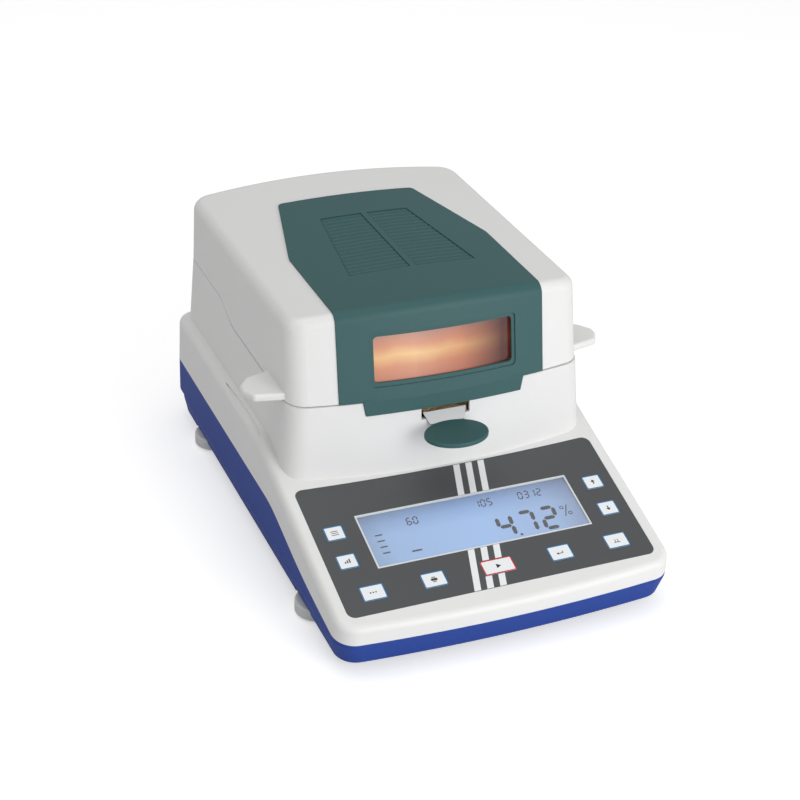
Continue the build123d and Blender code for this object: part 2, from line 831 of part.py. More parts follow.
# Lid shell with its side grips
seam_under_lid = lid_seam_space(lid_gap, -reach)
lid_outer = lid_form(0.0)
lid_inner = lid_form(-wall)


def insert_plan(grow):
    """Plan outline of the insert, wide at the front and narrow at the rear."""
    rear = insert_rear + grow
    with BuildSketch() as plan:
        with BuildLine():
            Polyline(
                (-insert_rear_half - grow, rear), (insert_rear_half + grow, rear),
                (insert_half + grow, insert_kink_y), (insert_half + grow, -reach),
                (-insert_half - grow, -reach), (-insert_half - grow, insert_kink_y), close=True,
            )
        make_face()
        fillet(plan.vertices().group_by(Axis.Y)[-1], radius=4.0)
        fillet(plan.vertices().filter_by_position(Axis.Y, insert_kink_y - 1, insert_kink_y + 1), radius=25.0)
    return plan.sketch


def insert_prism(grow):
    """Upright prism over the plan outline of the insert."""
    with BuildPart() as prism:
        with BuildSketch(Plane.XY):
            add(insert_plan(grow))
        extrude(amount=reach)
    return prism.part


def window_prism(grow):
    """Prism through the front window, square to the front of the lid."""
    middle = (window_z[0] + window_z[1]) / 2
    height = window_z[1] - window_z[0]
    with BuildPart() as prism:
        with BuildSketch(Plane.XZ.offset(-front_cut[1])):
            with Locations((0, middle)):
                RectangleRounded(2 * (window_half + grow), height + 2 * grow, window_corner)
        extrude(amount=front_cut[1] - front_cut[0])
    return prism.part


def louvre_field(side):
    """Upright prism over one of the two louvre fields."""
    inner = side * louvre_channel / 2
    with BuildPart() as prism:
        with BuildSketch(Plane.XY):
            with BuildLine():
                Polyline(
                    (inner, louvre_front[1]), (side * louvre_front[0], louvre_front[1]),
                    (side * louvre_rear[0], louvre_rear[1]), (inner, louvre_rear[1]), close=True,
                )
            make_face()
        extrude(amount=reach)
    return prism.part


# Seat of the insert in the shell
with BuildPart() as insert_seat:
    add(insert_prism(insert_clearance))
    add(lid_form(-insert_skin), mode=Mode.SUBTRACT)

half_notch = knuckle_width / 2 + ear_gap + ear_width + ear_gap
grip_middle = (grip_tip[0] + grip_tip[1]) / 2
with BuildPart() as lid_shell:
    add(lid_outer)
    for side in (-1, 1):
        with BuildSketch(Plane.XY.offset(grip_z[0])) as grip:
            with BuildLine():
                Polyline(
                    (side * (lid_high_half - 3), grip_root[0]), (side * (lid_low_half + 1), grip_root[0]),
                    (side * (grip_half - 5), grip_tip[0]), (side * grip_half, grip_middle - 3),
                    (side * grip_half, grip_middle + 3), (side * (grip_half - 7), grip_tip[1]),
                    (side * (lid_low_half + 1), grip_root[1]), (side * (lid_high_half - 3), grip_root[1]),
                    close=True,
                )
            make_face()
            fillet(grip.vertices().filter_by(lambda vertex: abs(vertex.X) > lid_low_half + 3), radius=3.0)
        extrude(amount=grip_z[1] - grip_z[0])
    tips = lid_shell.edges().filter_by(lambda edge: abs(edge.center().X) > lid_low_half + 4)
    fillet(tips.filter_by(lambda edge: edge.center().Z > grip_z[1] - 0.2), radius=2.0)
    tips = lid_shell.edges().filter_by(lambda edge: abs(edge.center().X) > lid_low_half + 4)
    fillet(tips.filter_by(lambda edge: edge.center().Z < grip_z[0] + 0.2), radius=1.6)
    add(lid_inner, mode=Mode.SUBTRACT)
    add(seam_under_lid, mode=Mode.SUBTRACT)
    add(insert_seat.part, mode=Mode.SUBTRACT)
    add(window_prism(window_lap), mode=Mode.SUBTRACT)
    for side in (-1, 1):
        add(block((side * knuckle_x - half_notch, side * knuckle_x + half_notch),
                  (hinge_y - knuckle_radius - hinge_notch_gap, reach),
                  (0, plate_z + plate_thickness + hinge_arm_sheet + hinge_notch_gap)),
            mode=Mode.SUBTRACT)
save(lid_shell.part, "lid_shell")

# Coloured insert with window frame, louvre pockets and a tab that laps over the tower
with BuildPart() as shell_space:
    add(lid_form(-insert_skin, rounded=False))
    add(block((-reach, reach), (-reach, reach), (0, lid_seam_low)), mode=Mode.SUBTRACT)

tab_top_z = insert_low_z + insert_skin
with BuildPart() as tab:
    add(tower_form(insert_proud))
    add(tower_form(-insert_skin), mode=Mode.SUBTRACT)
    add(shell_space.part, mode=Mode.SUBTRACT)
    with BuildSketch(Plane.XZ.offset(-front_cut[1])):
        with BuildLine():
            Polyline(
                (-tab_half_low, tab_low_z), (tab_half_low, tab_low_z), (tab_half_top, tab_top_z),
                (-tab_half_top, tab_top_z), close=True,
            )
        make_face()
    extrude(amount=front_cut[1] - front_cut[0], mode=Mode.INTERSECT)

with BuildPart() as bevel:
    add(window_prism(window_rim))
    add(lid_form(insert_proud - window_bevel), mode=Mode.SUBTRACT)

with BuildPart() as louvre_pockets:
    for side in (-1, 1):
        add(louvre_field(side))
    add(lid_form(insert_proud - louvre_depth), mode=Mode.SUBTRACT)

with BuildPart() as lid_insert:
    add(lid_form(insert_proud))
    add(insert_prism(0.0), mode=Mode.INTERSECT)
    add(lid_form(-insert_skin), mode=Mode.SUBTRACT)
    add(block((-reach, reach), (-reach, reach), (0, insert_low_z)), mode=Mode.SUBTRACT)
    add(tab.part)
    add(window_prism(0.0), mode=Mode.SUBTRACT)
    add(bevel.part, mode=Mode.SUBTRACT)
    add(louvre_pockets.part, mode=Mode.SUBTRACT)
save(lid_insert.part, "lid_insert")

# Window glass behind the lid's front wall
with BuildPart() as window_glass:
    add(window_prism(window_rim))
    add(lid_inner, mode=Mode.INTERSECT)
    add(lid_form(-wall - glass_depth, rounded=False), mode=Mode.SUBTRACT)
save(window_glass.part, "window_glass")

# Sheet that closes the lid, with the protective glass under it
with BuildPart() as lid_inner_frame:
    add(lid_form(-wall - glass_depth - plate_gap, rounded=False))
    add(block((-reach, reach), (-reach, plate_rear), (plate_z, plate_z + plate_thickness)), mode=Mode.INTERSECT)
    add(block((-lamp_window_half, lamp_window_half), (pan_y - lamp_window_depth, pan_y + lamp_window_depth),
              (0, reach)), mode=Mode.SUBTRACT)
save(lid_inner_frame.part, "lid_inner_frame")

glass_low = plate_z - protective_glass_depth
glass_x = lamp_window_half + glass_margin
glass_y = lamp_window_depth + glass_margin
with BuildPart() as protective_glass:
    add(block((-glass_x, glass_x), (pan_y - glass_y, pan_y + glass_y), (glass_low, plate_z)))
save(protective_glass.part, "protective_glass")

with BuildPart() as glass_clips:
    for x_side in (-1, 1):
        for y_side in (-1, 1):
            x = sorted((x_side * (glass_x - clip_lap), x_side * (glass_x + clip - clip_lap)))
            y_middle = pan_y + y_side * (glass_y - clip)
            add(block(x, (y_middle - clip / 2, y_middle + clip / 2), (glass_low - clip_sheet, plate_z)))
    add(protective_glass.part, mode=Mode.SUBTRACT)
save(glass_clips.part, "glass_clips")

lid_post_x = lid_high_half - lid_post_inset
with BuildPart() as lid_posts:
    for x_side in (-1, 1):
        for y in lid_post_y:
            add(rod(boss_radius, x_side * lid_post_x, y, plate_z + plate_thickness, crown_z))
    add(lid_form(-wall - lid_post_gap), mode=Mode.INTERSECT)
save(lid_posts.part, "lid_posts")

with BuildPart() as lid_screws:
    for x_side in (-1, 1):
        for y in lid_post_y:
            add(rod(screw_head_radius, x_side * lid_post_x, y, plate_z - screw_head, plate_z))
save(lid_screws.part, "lid_screws")

# Reflector, open towards the window, with the lamp and its holders
reflector_foot = plate_z + plate_thickness
reflector_outer = reflector_radius + reflector_sheet
with BuildPart() as reflector:
    with BuildSketch(Plane.YZ.offset(-reflector_half)):
        with BuildLine():
            outer_arc = CenterArc((pan_y, lamp_z), reflector_outer, 0, reflector_turn)
            inner_arc = CenterArc((pan_y, lamp_z), reflector_radius, 0, reflector_turn)
            Line(outer_arc @ 1, inner_arc @ 1)
            Polyline(
                (pan_y + reflector_outer, lamp_z), (pan_y + reflector_outer, reflector_foot),
                (pan_y + reflector_radius, reflector_foot), (pan_y + reflector_radius, lamp_z),
            )
        make_face()
    extrude(amount=2 * reflector_half)
save(reflector.part, "reflector")

with BuildPart() as halogen_lamp:
    add(cross_rod(lamp_radius, -lamp_half, lamp_half, pan_y, lamp_z))
    add(cross_rod(lamp_radius - lamp_wall, -lamp_half + 2, lamp_half - 2, pan_y, lamp_z), mode=Mode.SUBTRACT)
save(halogen_lamp.part, "halogen_lamp")

with BuildPart() as lamp_filament:
    add(cross_rod(filament_radius, -lamp_half + 2, lamp_half - 2, pan_y, lamp_z))
save(lamp_filament.part, "lamp_filament")

with BuildPart() as lamp_holders:
    for side in (-1, 1):
        x = sorted((side * lamp_half, side * (lamp_half + holder_size[0])))
        add(block(x, (pan_y - holder_size[1] / 2, pan_y + holder_size[1] / 2), (reflector_foot, lamp_z + 7)))
        foot = sorted((side * lamp_half, side * (lamp_window_half + 8)))
        add(block(foot, (pan_y - holder_size[1] / 2, pan_y + holder_size[1] / 2),
                  (reflector_foot, reflector_foot + 3)))
save(lamp_holders.part, "lamp_holders")

with BuildPart() as temperature_sensor:
    add(rod(sensor_radius, glass_x + clip + 4, pan_y, plate_z - sensor_length, plate_z))
save(temperature_sensor.part, "temperature_sensor")

# Hinge: arms on the lid, brackets and pins on the tower
with BuildPart() as lid_hinge_arms:
    for side in (-1, 1):
        x = (side * knuckle_x - knuckle_width / 2, side * knuckle_x + knuckle_width / 2)
        add(cross_rod(knuckle_radius, x[0], x[1], hinge_y, hinge_z))
        add(block(x, (hinge_y - knuckle_radius, hinge_y), (hinge_z, reflector_foot + hinge_arm_sheet)))
        add(block(x, (plate_rear - 30, hinge_y), (reflector_foot, reflector_foot + hinge_arm_sheet)))
        add(cross_rod(pin_radius + pin_clearance, x[0] - 1, x[1] + 1, hinge_y, hinge_z), mode=Mode.SUBTRACT)
save(lid_hinge_arms.part, "lid_hinge_arms")

with BuildPart() as hinge_brackets:
    for side in (-1, 1):
        inner = knuckle_width / 2 + ear_gap
        outer = inner + ear_width
        middle = side * knuckle_x
        add(block((middle - outer, middle + outer), (hinge_y - knuckle_radius, hinge_y + knuckle_radius),
                  (hinge_z - bracket_depth, hinge_z - groove_radius)))
        for ear in (-1, 1):
            x = sorted((middle + ear * inner, middle + ear * outer))
            add(cross_rod(knuckle_radius, x[0], x[1], hinge_y, hinge_z))
            add(block(x, (hinge_y - knuckle_radius, hinge_y + knuckle_radius),
                      (hinge_z - bracket_depth, hinge_z)))
        add(cross_rod(pin_radius + pin_seat, middle - outer - 1, middle + outer + 1, hinge_y, hinge_z),
            mode=Mode.SUBTRACT)
save(hinge_brackets.part, "hinge_brackets")

with BuildPart() as hinge_pins:
    for side in (-1, 1):
        half_pin = knuckle_width / 2 + ear_gap + ear_width
        add(cross_rod(pin_radius, side * knuckle_x - half_pin, side * knuckle_x + half_pin, hinge_y, hinge_z))
save(hinge_pins.part, "hinge_pins")

with BuildPart() as lid_buffers:
    for side in (-1, 1):
        for y in buffer_y:
            x = sorted((side * (tower_high_half - buffer_width), side * tower_high_half))
            add(block(x, (y - buffer_half, y + buffer_half), (lid_seam_low, lid_seam_low + lid_gap)))
save(lid_buffers.part, "lid_buffers")

# Boards inside the lower body
with BuildPart() as main_board:
    add(block((-main_board_half, main_board_half), main_board_y, (board_z, board_z + board_thickness)))
    board_middle = (main_board_y[0] + main_board_y[1]) / 2
    for x in chip_x:
        with Locations((x, board_middle, board_z + board_thickness)):
            Box(*chip_size, align=(Align.CENTER, Align.CENTER, Align.MIN))
save(main_board.part, "main_board")

with BuildPart() as power_supply:
    add(block(supply_x, supply_y, (board_z, board_z + board_thickness)))
    supply_middle = (supply_x[0] + supply_x[1]) / 2
    with Locations((supply_middle, supply_y[0] + 26, board_z + board_thickness)):
        Box(*transformer_size, align=(Align.CENTER, Align.CENTER, Align.MIN))
    for y in (supply_y[1] - 16, supply_y[1] - 38):
        add(rod(capacitor_radius, supply_middle, y, board_z + board_thickness,
                board_z + board_thickness + capacitor_height))
save(power_supply.part, "power_supply")

# Power inlet with its fuse drawer
socket_z = panel_middle + 3.0
drawer_z = socket_z - socket_size[1] / 2 - 1.4 - drawer_size[1] / 2
inlet_face = panel_y + flange_thickness
with BuildPart() as power_inlet:
    add(block((inlet_x - inlet_flange[0] / 2, inlet_x + inlet_flange[0] / 2), (panel_y, inlet_face),
              (panel_middle - inlet_flange[1] / 2, panel_middle + inlet_flange[1] / 2)))
    add(block((inlet_x - inlet_size[0] / 2, inlet_x + inlet_size[0] / 2), (inlet_face - inlet_depth, panel_y),
              (panel_middle - inlet_size[1] / 2, panel_middle + inlet_size[1] / 2)))
    add(block((inlet_x - socket_size[0] / 2, inlet_x + socket_size[0] / 2), (inlet_face - socket_depth, reach),
              (socket_z - socket_size[1] / 2, socket_z + socket_size[1] / 2)), mode=Mode.SUBTRACT)
    add(block((inlet_x - drawer_size[0] / 2 - drawer_gap, inlet_x + drawer_size[0] / 2 + drawer_gap),
              (inlet_face - drawer_length - drawer_gap, reach),
              (drawer_z - drawer_size[1] / 2 - drawer_gap, drawer_z + drawer_size[1] / 2 + drawer_gap)),
        mode=Mode.SUBTRACT)
    for index in (-1, 0, 1):
        x = inlet_x + index * blade_spacing
        z = socket_z + (1.8 if index == 0 else -1.8)
        add(block((x - blade_size[1] / 2, x + blade_size[1] / 2),
                  (inlet_face - socket_depth, inlet_face - socket_depth + blade_length),
                  (z - blade_size[0] / 2, z + blade_size[0] / 2)))
save(power_inlet.part, "power_inlet")

with BuildPart() as fuse_drawer:
    add(block((inlet_x - drawer_size[0] / 2, inlet_x + drawer_size[0] / 2),
              (inlet_face - drawer_length, inlet_face),
              (drawer_z - drawer_size[1] / 2, drawer_z + drawer_size[1] / 2)))
save(fuse_drawer.part, "fuse_drawer")

# Mains switch with its rocker
switch_face = panel_y + flange_thickness
pivot_y = switch_face - rocker_pivot
cavity = (rocker_size[0] + 2 * drawer_gap, rocker_size[1] + 8 * drawer_gap)
with BuildPart() as switch_body:
    add(block((switch_x - switch_flange[0] / 2, switch_x + switch_flange[0] / 2), (panel_y, switch_face),
              (panel_middle - switch_flange[1] / 2, panel_middle + switch_flange[1] / 2)))
    add(block((switch_x - switch_size[0] / 2, switch_x + switch_size[0] / 2),
              (switch_face - switch_depth, panel_y),
              (panel_middle - switch_size[1] / 2, panel_middle + switch_size[1] / 2)))
    add(block((switch_x - cavity[0] / 2, switch_x + cavity[0] / 2), (pivot_y - 5, reach),
              (panel_middle - cavity[1] / 2, panel_middle + cavity[1] / 2)), mode=Mode.SUBTRACT)
    add(cross_rod(rocker_pin, switch_x - cavity[0] / 2, switch_x + cavity[0] / 2, pivot_y, panel_middle))
save(switch_body.part, "switch_body")

tilt = radians(rocker_tilt)
rocker_plane = Plane(
    origin=(switch_x - rocker_size[0] / 2, pivot_y, panel_middle),
    x_dir=(0, cos(tilt), sin(tilt)), z_dir=(1, 0, 0),
)
rocker_half = rocker_size[1] / 2
rocker_back = rocker_pivot - rocker_thickness
with BuildPart() as rocker:
    with BuildSketch(rocker_plane):
        with BuildLine():
            Polyline(
                (-rocker_root[0], -rocker_root[1]), (rocker_back, -rocker_half),
                (rocker_pivot + rocker_lip, -rocker_half), (rocker_pivot, 0),
                (rocker_pivot + rocker_lip, rocker_half),
                (rocker_back, rocker_half), (-rocker_root[0], rocker_root[1]), close=True,
            )
        make_face()
    extrude(amount=rocker_size[0])
    add(cross_rod(rocker_pin + rocker_clearance, switch_x - cavity[0] / 2, switch_x + cavity[0] / 2,
                  pivot_y, panel_middle), mode=Mode.SUBTRACT)
save(rocker.part, "rocker")

# Serial port
with BuildPart() as serial_port:
    add(block((serial_x - serial_flange[0] / 2, serial_x + serial_flange[0] / 2), (panel_y, panel_y + 1),
              (panel_middle - serial_flange[1] / 2, panel_middle + serial_flange[1] / 2)))
    add(block((serial_x - serial_shell[0] / 2, serial_x + serial_shell[0] / 2),
              (panel_y - serial_depth, panel_y + serial_reach),
              (panel_middle - serial_shell[1] / 2, panel_middle + serial_shell[1] / 2)))
save(serial_port.part, "serial_port")

# Screws that join tray and housing
with BuildPart() as housing_screws:
    for x, y in screw_places:
        add(rod(screw_head_radius, x, y, tray_bottom - screw_head, tray_bottom))
        add(rod(screw_radius, x, y, tray_bottom, boss_foot_z + screw_length))
save(housing_screws.part, "housing_screws")

# Levelling feet: wheel with stud, rubber sole and nut
foot_names = ("front_left", "front_right", "rear_left", "rear_right")
for (x, y), name in zip(foot_places, foot_names):
    with BuildPart() as wheel:
        add(rod(wheel_radius, x, y, wheel_z[0], wheel_z[1]))
        fillet(wheel.edges().group_by(Axis.Z)[-1], radius=1.5)
        add(rod(stud_radius, x, y, wheel_z[1] - 1, stud_top))
    save(wheel.part, f"foot_wheel_{name}")
    with BuildPart() as sole:
        add(rod(sole_radius, x, y, 0, wheel_z[0]))
    save(sole.part, f"foot_sole_{name}")

with BuildPart() as foot_nuts:
    for x, y in foot_places:
        with BuildSketch(Plane.XY.offset(foot_boss_z)):
            with Locations((x, y)):
                RegularPolygon(nut_flats_radius, 6)
        extrude(amount=nut_height)
        add(rod(stud_radius + stud_clearance, x, y, 0, reach), mode=Mode.SUBTRACT)
save(foot_nuts.part, "foot_nuts")
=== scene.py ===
import json
import math

import bmesh
import bpy
from bpy.props import FloatProperty, FloatVectorProperty, IntProperty, PointerProperty
from bpy.types import Operator, Panel, PropertyGroup
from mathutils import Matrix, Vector


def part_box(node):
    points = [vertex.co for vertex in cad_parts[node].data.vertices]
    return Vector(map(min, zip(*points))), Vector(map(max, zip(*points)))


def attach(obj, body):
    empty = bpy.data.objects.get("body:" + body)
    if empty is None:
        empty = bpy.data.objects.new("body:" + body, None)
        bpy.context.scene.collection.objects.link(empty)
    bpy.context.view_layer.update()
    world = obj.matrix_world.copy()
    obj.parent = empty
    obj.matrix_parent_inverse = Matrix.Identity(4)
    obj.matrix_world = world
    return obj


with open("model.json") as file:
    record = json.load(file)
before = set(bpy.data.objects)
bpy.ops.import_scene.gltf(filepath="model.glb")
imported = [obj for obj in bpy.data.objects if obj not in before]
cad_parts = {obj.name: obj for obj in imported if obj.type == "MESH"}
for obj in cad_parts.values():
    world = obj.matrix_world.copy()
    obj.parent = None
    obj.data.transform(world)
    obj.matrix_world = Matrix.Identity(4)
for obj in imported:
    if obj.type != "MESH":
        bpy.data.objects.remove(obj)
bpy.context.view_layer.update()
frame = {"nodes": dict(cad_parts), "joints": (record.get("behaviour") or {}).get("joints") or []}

bl_info = {
    "name": "Moisture Analyser Looks",
    "version": (1, 0, 0),
    "blender": (4, 5, 0),
    "location": "View3D > Sidebar > Analyser",
    "description": "Finishes and fine pieces of a bench moisture analyser",
    "category": "Object",
}

MM = 0.001

# Nodes of the CAD model that come in sets
KEYS = (
    "key_left_upper", "key_left_lower", "key_right_upper", "key_right_lower",
    "key_menu", "key_print", "key_enter", "key_tare", "key_start",
)
CORNERS = ("front_left", "front_right", "rear_left", "rear_right")

# Blender's Mix node has several sockets of one name, so its colours are reached by number
MIX_FACTOR, MIX_COLOR_A, MIX_COLOR_B = 0, 6, 7
MIX_COLOR_RESULT = 2

# A finish's relief, how far its roughness varies, and how much wider its colour varies than its grain
RELIEF_DEPTH = 0.05 * MM
ROUGHNESS_SPREAD = 0.04
TINT_TO_GRAIN = 30
# Width of the streaks that a cloth leaves on a clear sheet, in millimetres
WIPE_MM = 6.0

# Studio, in metres
FLOOR_HALF_WIDTH = 6.0
LIGHT_TARGET = Vector((0, 0, 0.08))
FRONT_LIGHT_PLACE, FRONT_LIGHT_SIZE = Vector((0.55, -1.5, 0.55)), 1.1
TOP_LIGHT_PLACE, TOP_LIGHT_SIZE = Vector((-0.2, 0.2, 1.9)), 1.3
SENSOR_WIDTH = 36.0
CLIP_START, CLIP_END = 0.05, 50

# Corners of a key's print, and the height of its symbol's unit in heights of the key
KEY_OUTER_RADIUS, KEY_INNER_RADIUS = 1.2 * MM, 0.6 * MM
SYMBOL_UNIT = 0.26
# Points this close under a key's highest point belong to its top
KEY_TOP_DEPTH = 0.2 * MM

# Gaps that the film's bars keep to its top and foot, the display's frame and the start key
BAR_GAP_TOP, BAR_GAP_FOOT = 0.4 * MM, 0.3 * MM
BAR_GAP_DISPLAY, BAR_GAP_KEY = 0.2 * MM, 0.5 * MM

# Segments of a seven-segment figure, lettered clockwise from the top with g in the middle
SEGMENTS = {
    "0": "abcdef", "1": "bc", "2": "abged", "3": "abgcd",
    "4": "fgbc", "5": "afgcd", "6": "afgedc", "7": "abc",
}
# Gap between two segments in strokes, and how far a figure leans for each step of its height
SEGMENT_GAP = 0.16
FIGURE_SLANT = 0.09
# Figures of the display, in millimetres: text, upper left corner of its first figure, step to the next one,
# width, height and stroke
FIGURES = (
    ("472", 14.0, 50.0, 16.0, 9.4, 17.0, 2.9),
    ("105", 6.0, 33.0, 4.6, 2.8, 5.6, 0.95),
    ("0312", 38.0, 33.0, 4.6, 2.8, 5.6, 0.95),
    ("60", -44.0, 36.0, 4.6, 2.8, 5.6, 0.95),
)

# Inner end of the louvres, and their outer ends at the front and at the rear, from the middle of the insert
LOUVRE_CHANNEL, LOUVRE_FRONT_REACH, LOUVRE_REAR_REACH = 2.6 * MM, 45.4 * MM, 32.6 * MM
RIB_STEPS = 6
# Half a rib's width in pitches, and its section from front to rear: place in half widths, and height over
# the pocket
RIB_HALF_WIDTH = 0.32
RIB_SECTION = ((-1.0, -0.1 * MM), (-0.5, 0.62 * MM), (0.9, 0.3 * MM), (1.0, -0.1 * MM))
# The ribs' feet on the insert are found from this height, well above the lid
RAY_START = 0.4

FILAMENT_HALF_LENGTH = 50 * MM


def linear(hex_code):
    """Linear RGBA of an sRGB hex colour."""
    channels = [int(hex_code[i:i + 2], 16) / 255 for i in (0, 2, 4)]
    return [c / 12.92 if c <= 0.04045 else ((c + 0.055) / 1.055) ** 2.4 for c in channels] + [1.0]


def add_node(tree, kind, links=None, **settings):
    """Add a shader node, set its sockets and options by name, and link its inputs."""
    made = tree.nodes.new(kind)
    for name, value in settings.items():
        socket = name.replace("_", " ")
        if socket in made.inputs:
            made.inputs[socket].default_value = value
        else:
            setattr(made, name, value)
    for name, source in (links or {}).items():
        tree.links.new(source, made.inputs[name])
    return made


def new_material(name):
    """Empty node material with its output, ready for a surface."""
    material = bpy.data.materials.new(name)
    material.use_nodes = True
    tree = material.node_tree
    tree.nodes.clear()
    return material, tree, add_node(tree, "ShaderNodeOutputMaterial")


def grain(tree, size_mm, stretch=(1.0, 1.0, 1.0)):
    """Noise in the object's own coordinates whose grains are size_mm across."""
    place = add_node(tree, "ShaderNodeTexCoord")
    mapping = add_node(tree, "ShaderNodeMapping", {"Vector": place.outputs["Object"]}, Scale=stretch)
    return add_node(tree, "ShaderNodeTexNoise", {"Vector": mapping.outputs["Vector"]},
                    Scale=1.0 / (size_mm * MM), Detail=3.0)


def finish(name, color, roughness, grain_mm, bump=0.1, variation=0.03, stretch=(1.0, 1.0, 1.0), **sockets):
    """Opaque surface with varied colour, varied roughness and a fine relief; color is hex or a property."""
    material, tree, output = new_material(name)
    wide = grain(tree, grain_mm * TINT_TO_GRAIN)
    fine = grain(tree, grain_mm, stretch)
    base = linear(color) if isinstance(color, str) else [*color, 1.0]
    tint = add_node(tree, "ShaderNodeMix", {"Factor": wide.outputs["Fac"]}, data_type="RGBA")
    tint.inputs[MIX_COLOR_A].default_value = base
    tint.inputs[MIX_COLOR_B].default_value = [c * (1.0 - variation) for c in base[:3]] + [1.0]
    rough = add_node(tree, "ShaderNodeMapRange", {"Value": fine.outputs["Fac"]},
                     To_Min=roughness - ROUGHNESS_SPREAD, To_Max=roughness + ROUGHNESS_SPREAD)
    relief = add_node(tree, "ShaderNodeBump", {"Height": fine.outputs["Fac"]},
                      Strength=bump, Distance=RELIEF_DEPTH)
    shader = add_node(tree, "ShaderNodeBsdfPrincipled",
                      {"Base Color": tint.outputs[MIX_COLOR_RESULT], "Roughness": rough.outputs["Result"],
                       "Normal": relief.outputs["Normal"]},
                      **sockets)
    tree.links.new(shader.outputs["BSDF"], output.inputs["Surface"])
    return material


def clear_sheet(name, color, roughness, ior, alpha):
    """Clear sheet: mostly see-through, with a glossy face that shows where a cloth wiped it."""
    material, tree, output = new_material(name)
    wipe = grain(tree, WIPE_MM)
    rough = add_node(tree, "ShaderNodeMapRange", {"Value": wipe.outputs["Fac"]},
                     To_Min=roughness, To_Max=roughness + ROUGHNESS_SPREAD)
    shader = add_node(tree, "ShaderNodeBsdfPrincipled", {"Roughness": rough.outputs["Result"]},
                      Base_Color=linear(color), Alpha=alpha, IOR=ior)
    tree.links.new(shader.outputs["BSDF"], output.inputs["Surface"])
    return material


def set_stops(ramp, stops):
    """Give a colour ramp its places and hex colours."""
    elements = ramp.color_ramp.elements
    while len(elements) < len(stops):
        elements.new(0.5)
    for element, (position, color) in zip(elements, stops):
        element.position = position
        element.color = linear(color)


def glowing(name, stops, strength, span, ripple_mm, ripple, roughness=0.3, painted_shade=None):
    """Lit surface whose glow runs through the stops along span: an axis with its two places.

    painted_shade is a second span and its own stops, which dim the first with painted shade.
    """
    material, tree, output = new_material(name)
    place = add_node(tree, "ShaderNodeTexCoord")
    split = add_node(tree, "ShaderNodeSeparateXYZ", {"Vector": place.outputs["Object"]})
    axis, low, high = span
    along = add_node(tree, "ShaderNodeMapRange", {"Value": split.outputs[axis]},
                     From_Min=low, From_Max=high)
    waves = grain(tree, ripple_mm)
    shift = add_node(tree, "ShaderNodeMapRange", {"Value": waves.outputs["Fac"]},
                     To_Min=-ripple, To_Max=ripple)
    total = add_node(tree, "ShaderNodeMath", {0: along.outputs["Result"], 1: shift.outputs["Result"]})
    ramp = add_node(tree, "ShaderNodeValToRGB", {"Fac": total.outputs["Value"]})
    set_stops(ramp, stops)
    light = ramp.outputs["Color"]
    # Painted shade: a second ramp darkens the glow along another axis
    if painted_shade:
        (axis, low, high), levels = painted_shade
        across = add_node(tree, "ShaderNodeMapRange", {"Value": split.outputs[axis]},
                          From_Min=low, From_Max=high)
        shade = add_node(tree, "ShaderNodeValToRGB", {"Fac": across.outputs["Result"]})
        set_stops(shade, levels)
        dim = add_node(tree, "ShaderNodeMix", data_type="RGBA", blend_type="MULTIPLY")
        dim.inputs[MIX_FACTOR].default_value = 1.0
        tree.links.new(light, dim.inputs[MIX_COLOR_A])
        tree.links.new(shade.outputs["Color"], dim.inputs[MIX_COLOR_B])
        light = dim.outputs[MIX_COLOR_RESULT]
    shader = add_node(tree, "ShaderNodeBsdfPrincipled", {"Emission Color": light}, Roughness=roughness,
                      Base_Color=linear("101214"), Emission_Strength=strength)
    tree.links.new(shader.outputs["BSDF"], output.inputs["Surface"])
    return material


def assign(material, *names):
    """Give CAD nodes a finish."""
    for name in names:
        mesh = frame["nodes"][name].data
        mesh.materials.clear()
        mesh.materials.append(material)


def add_object(name, builder, materials):
    """Finish a bmesh as an object, its faces turned outwards."""
    bmesh.ops.recalc_face_normals(builder, faces=builder.faces)
    mesh = bpy.data.meshes.new(name)
    builder.to_mesh(mesh)
    builder.free()
    for material in materials:
        mesh.materials.append(material)
    made = bpy.data.objects.new(name, mesh)
    bpy.context.scene.collection.objects.link(made)
    return made


def add_piece(name, builder, materials, body):
    """Finish a bmesh as a piece that rides on a body."""
    piece = add_object(name, builder, materials)
    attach(piece, body)


def node_points(name):
    """Corners of a CAD node's mesh as vectors."""
    return [vertex.co.copy() for vertex in frame["nodes"][name].data.vertices]


def box_of(name):
    """Lowest and highest corner of a CAD node."""
    low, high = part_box(name)
    return Vector(low), Vector(high)


class ConsolePlane:
    """The sloping face of the console, read from the film and the way the keys move."""

    def __init__(self, length):
        pressed = next(joint["axis"] for joint in frame["joints"] if joint["name"] == "key_start_press")
        self.normal = -Vector(pressed).normalized()
        self.up_slope = self.normal.cross(Vector((1, 0, 0)))
        points = node_points("keypad_foil")
        self.height = max(point.dot(self.normal) for point in points)
        self.foot = min(point.dot(self.up_slope) for point in points)
        self.length = length

    def point(self, x, v, lift):
        """World point at x across and v down from the film's top, lift above the film."""
        along = self.foot + self.length - v
        return Vector((x, 0, 0)) + self.up_slope * along + self.normal * (self.height + lift)

    def down(self, point):
        """How far a world point lies down from the film's top."""
        return self.length - (point.dot(self.up_slope) - self.foot)

    def lift(self, point):
        """How far a world point lies above the film."""
        return point.dot(self.normal) - self.height

    def key(self, name):
        """Middle, size and height of a key's top on this plane."""
        points = node_points(name)
        top = max(self.lift(point) for point in points)
        rows = [self.down(point) for point in points if self.lift(point) > top - KEY_TOP_DEPTH]
        columns = [point.x for point in points]
        middle = ((min(columns) + max(columns)) / 2, (min(rows) + max(rows)) / 2)
        return middle, (max(columns) - min(columns), max(rows) - min(rows)), top


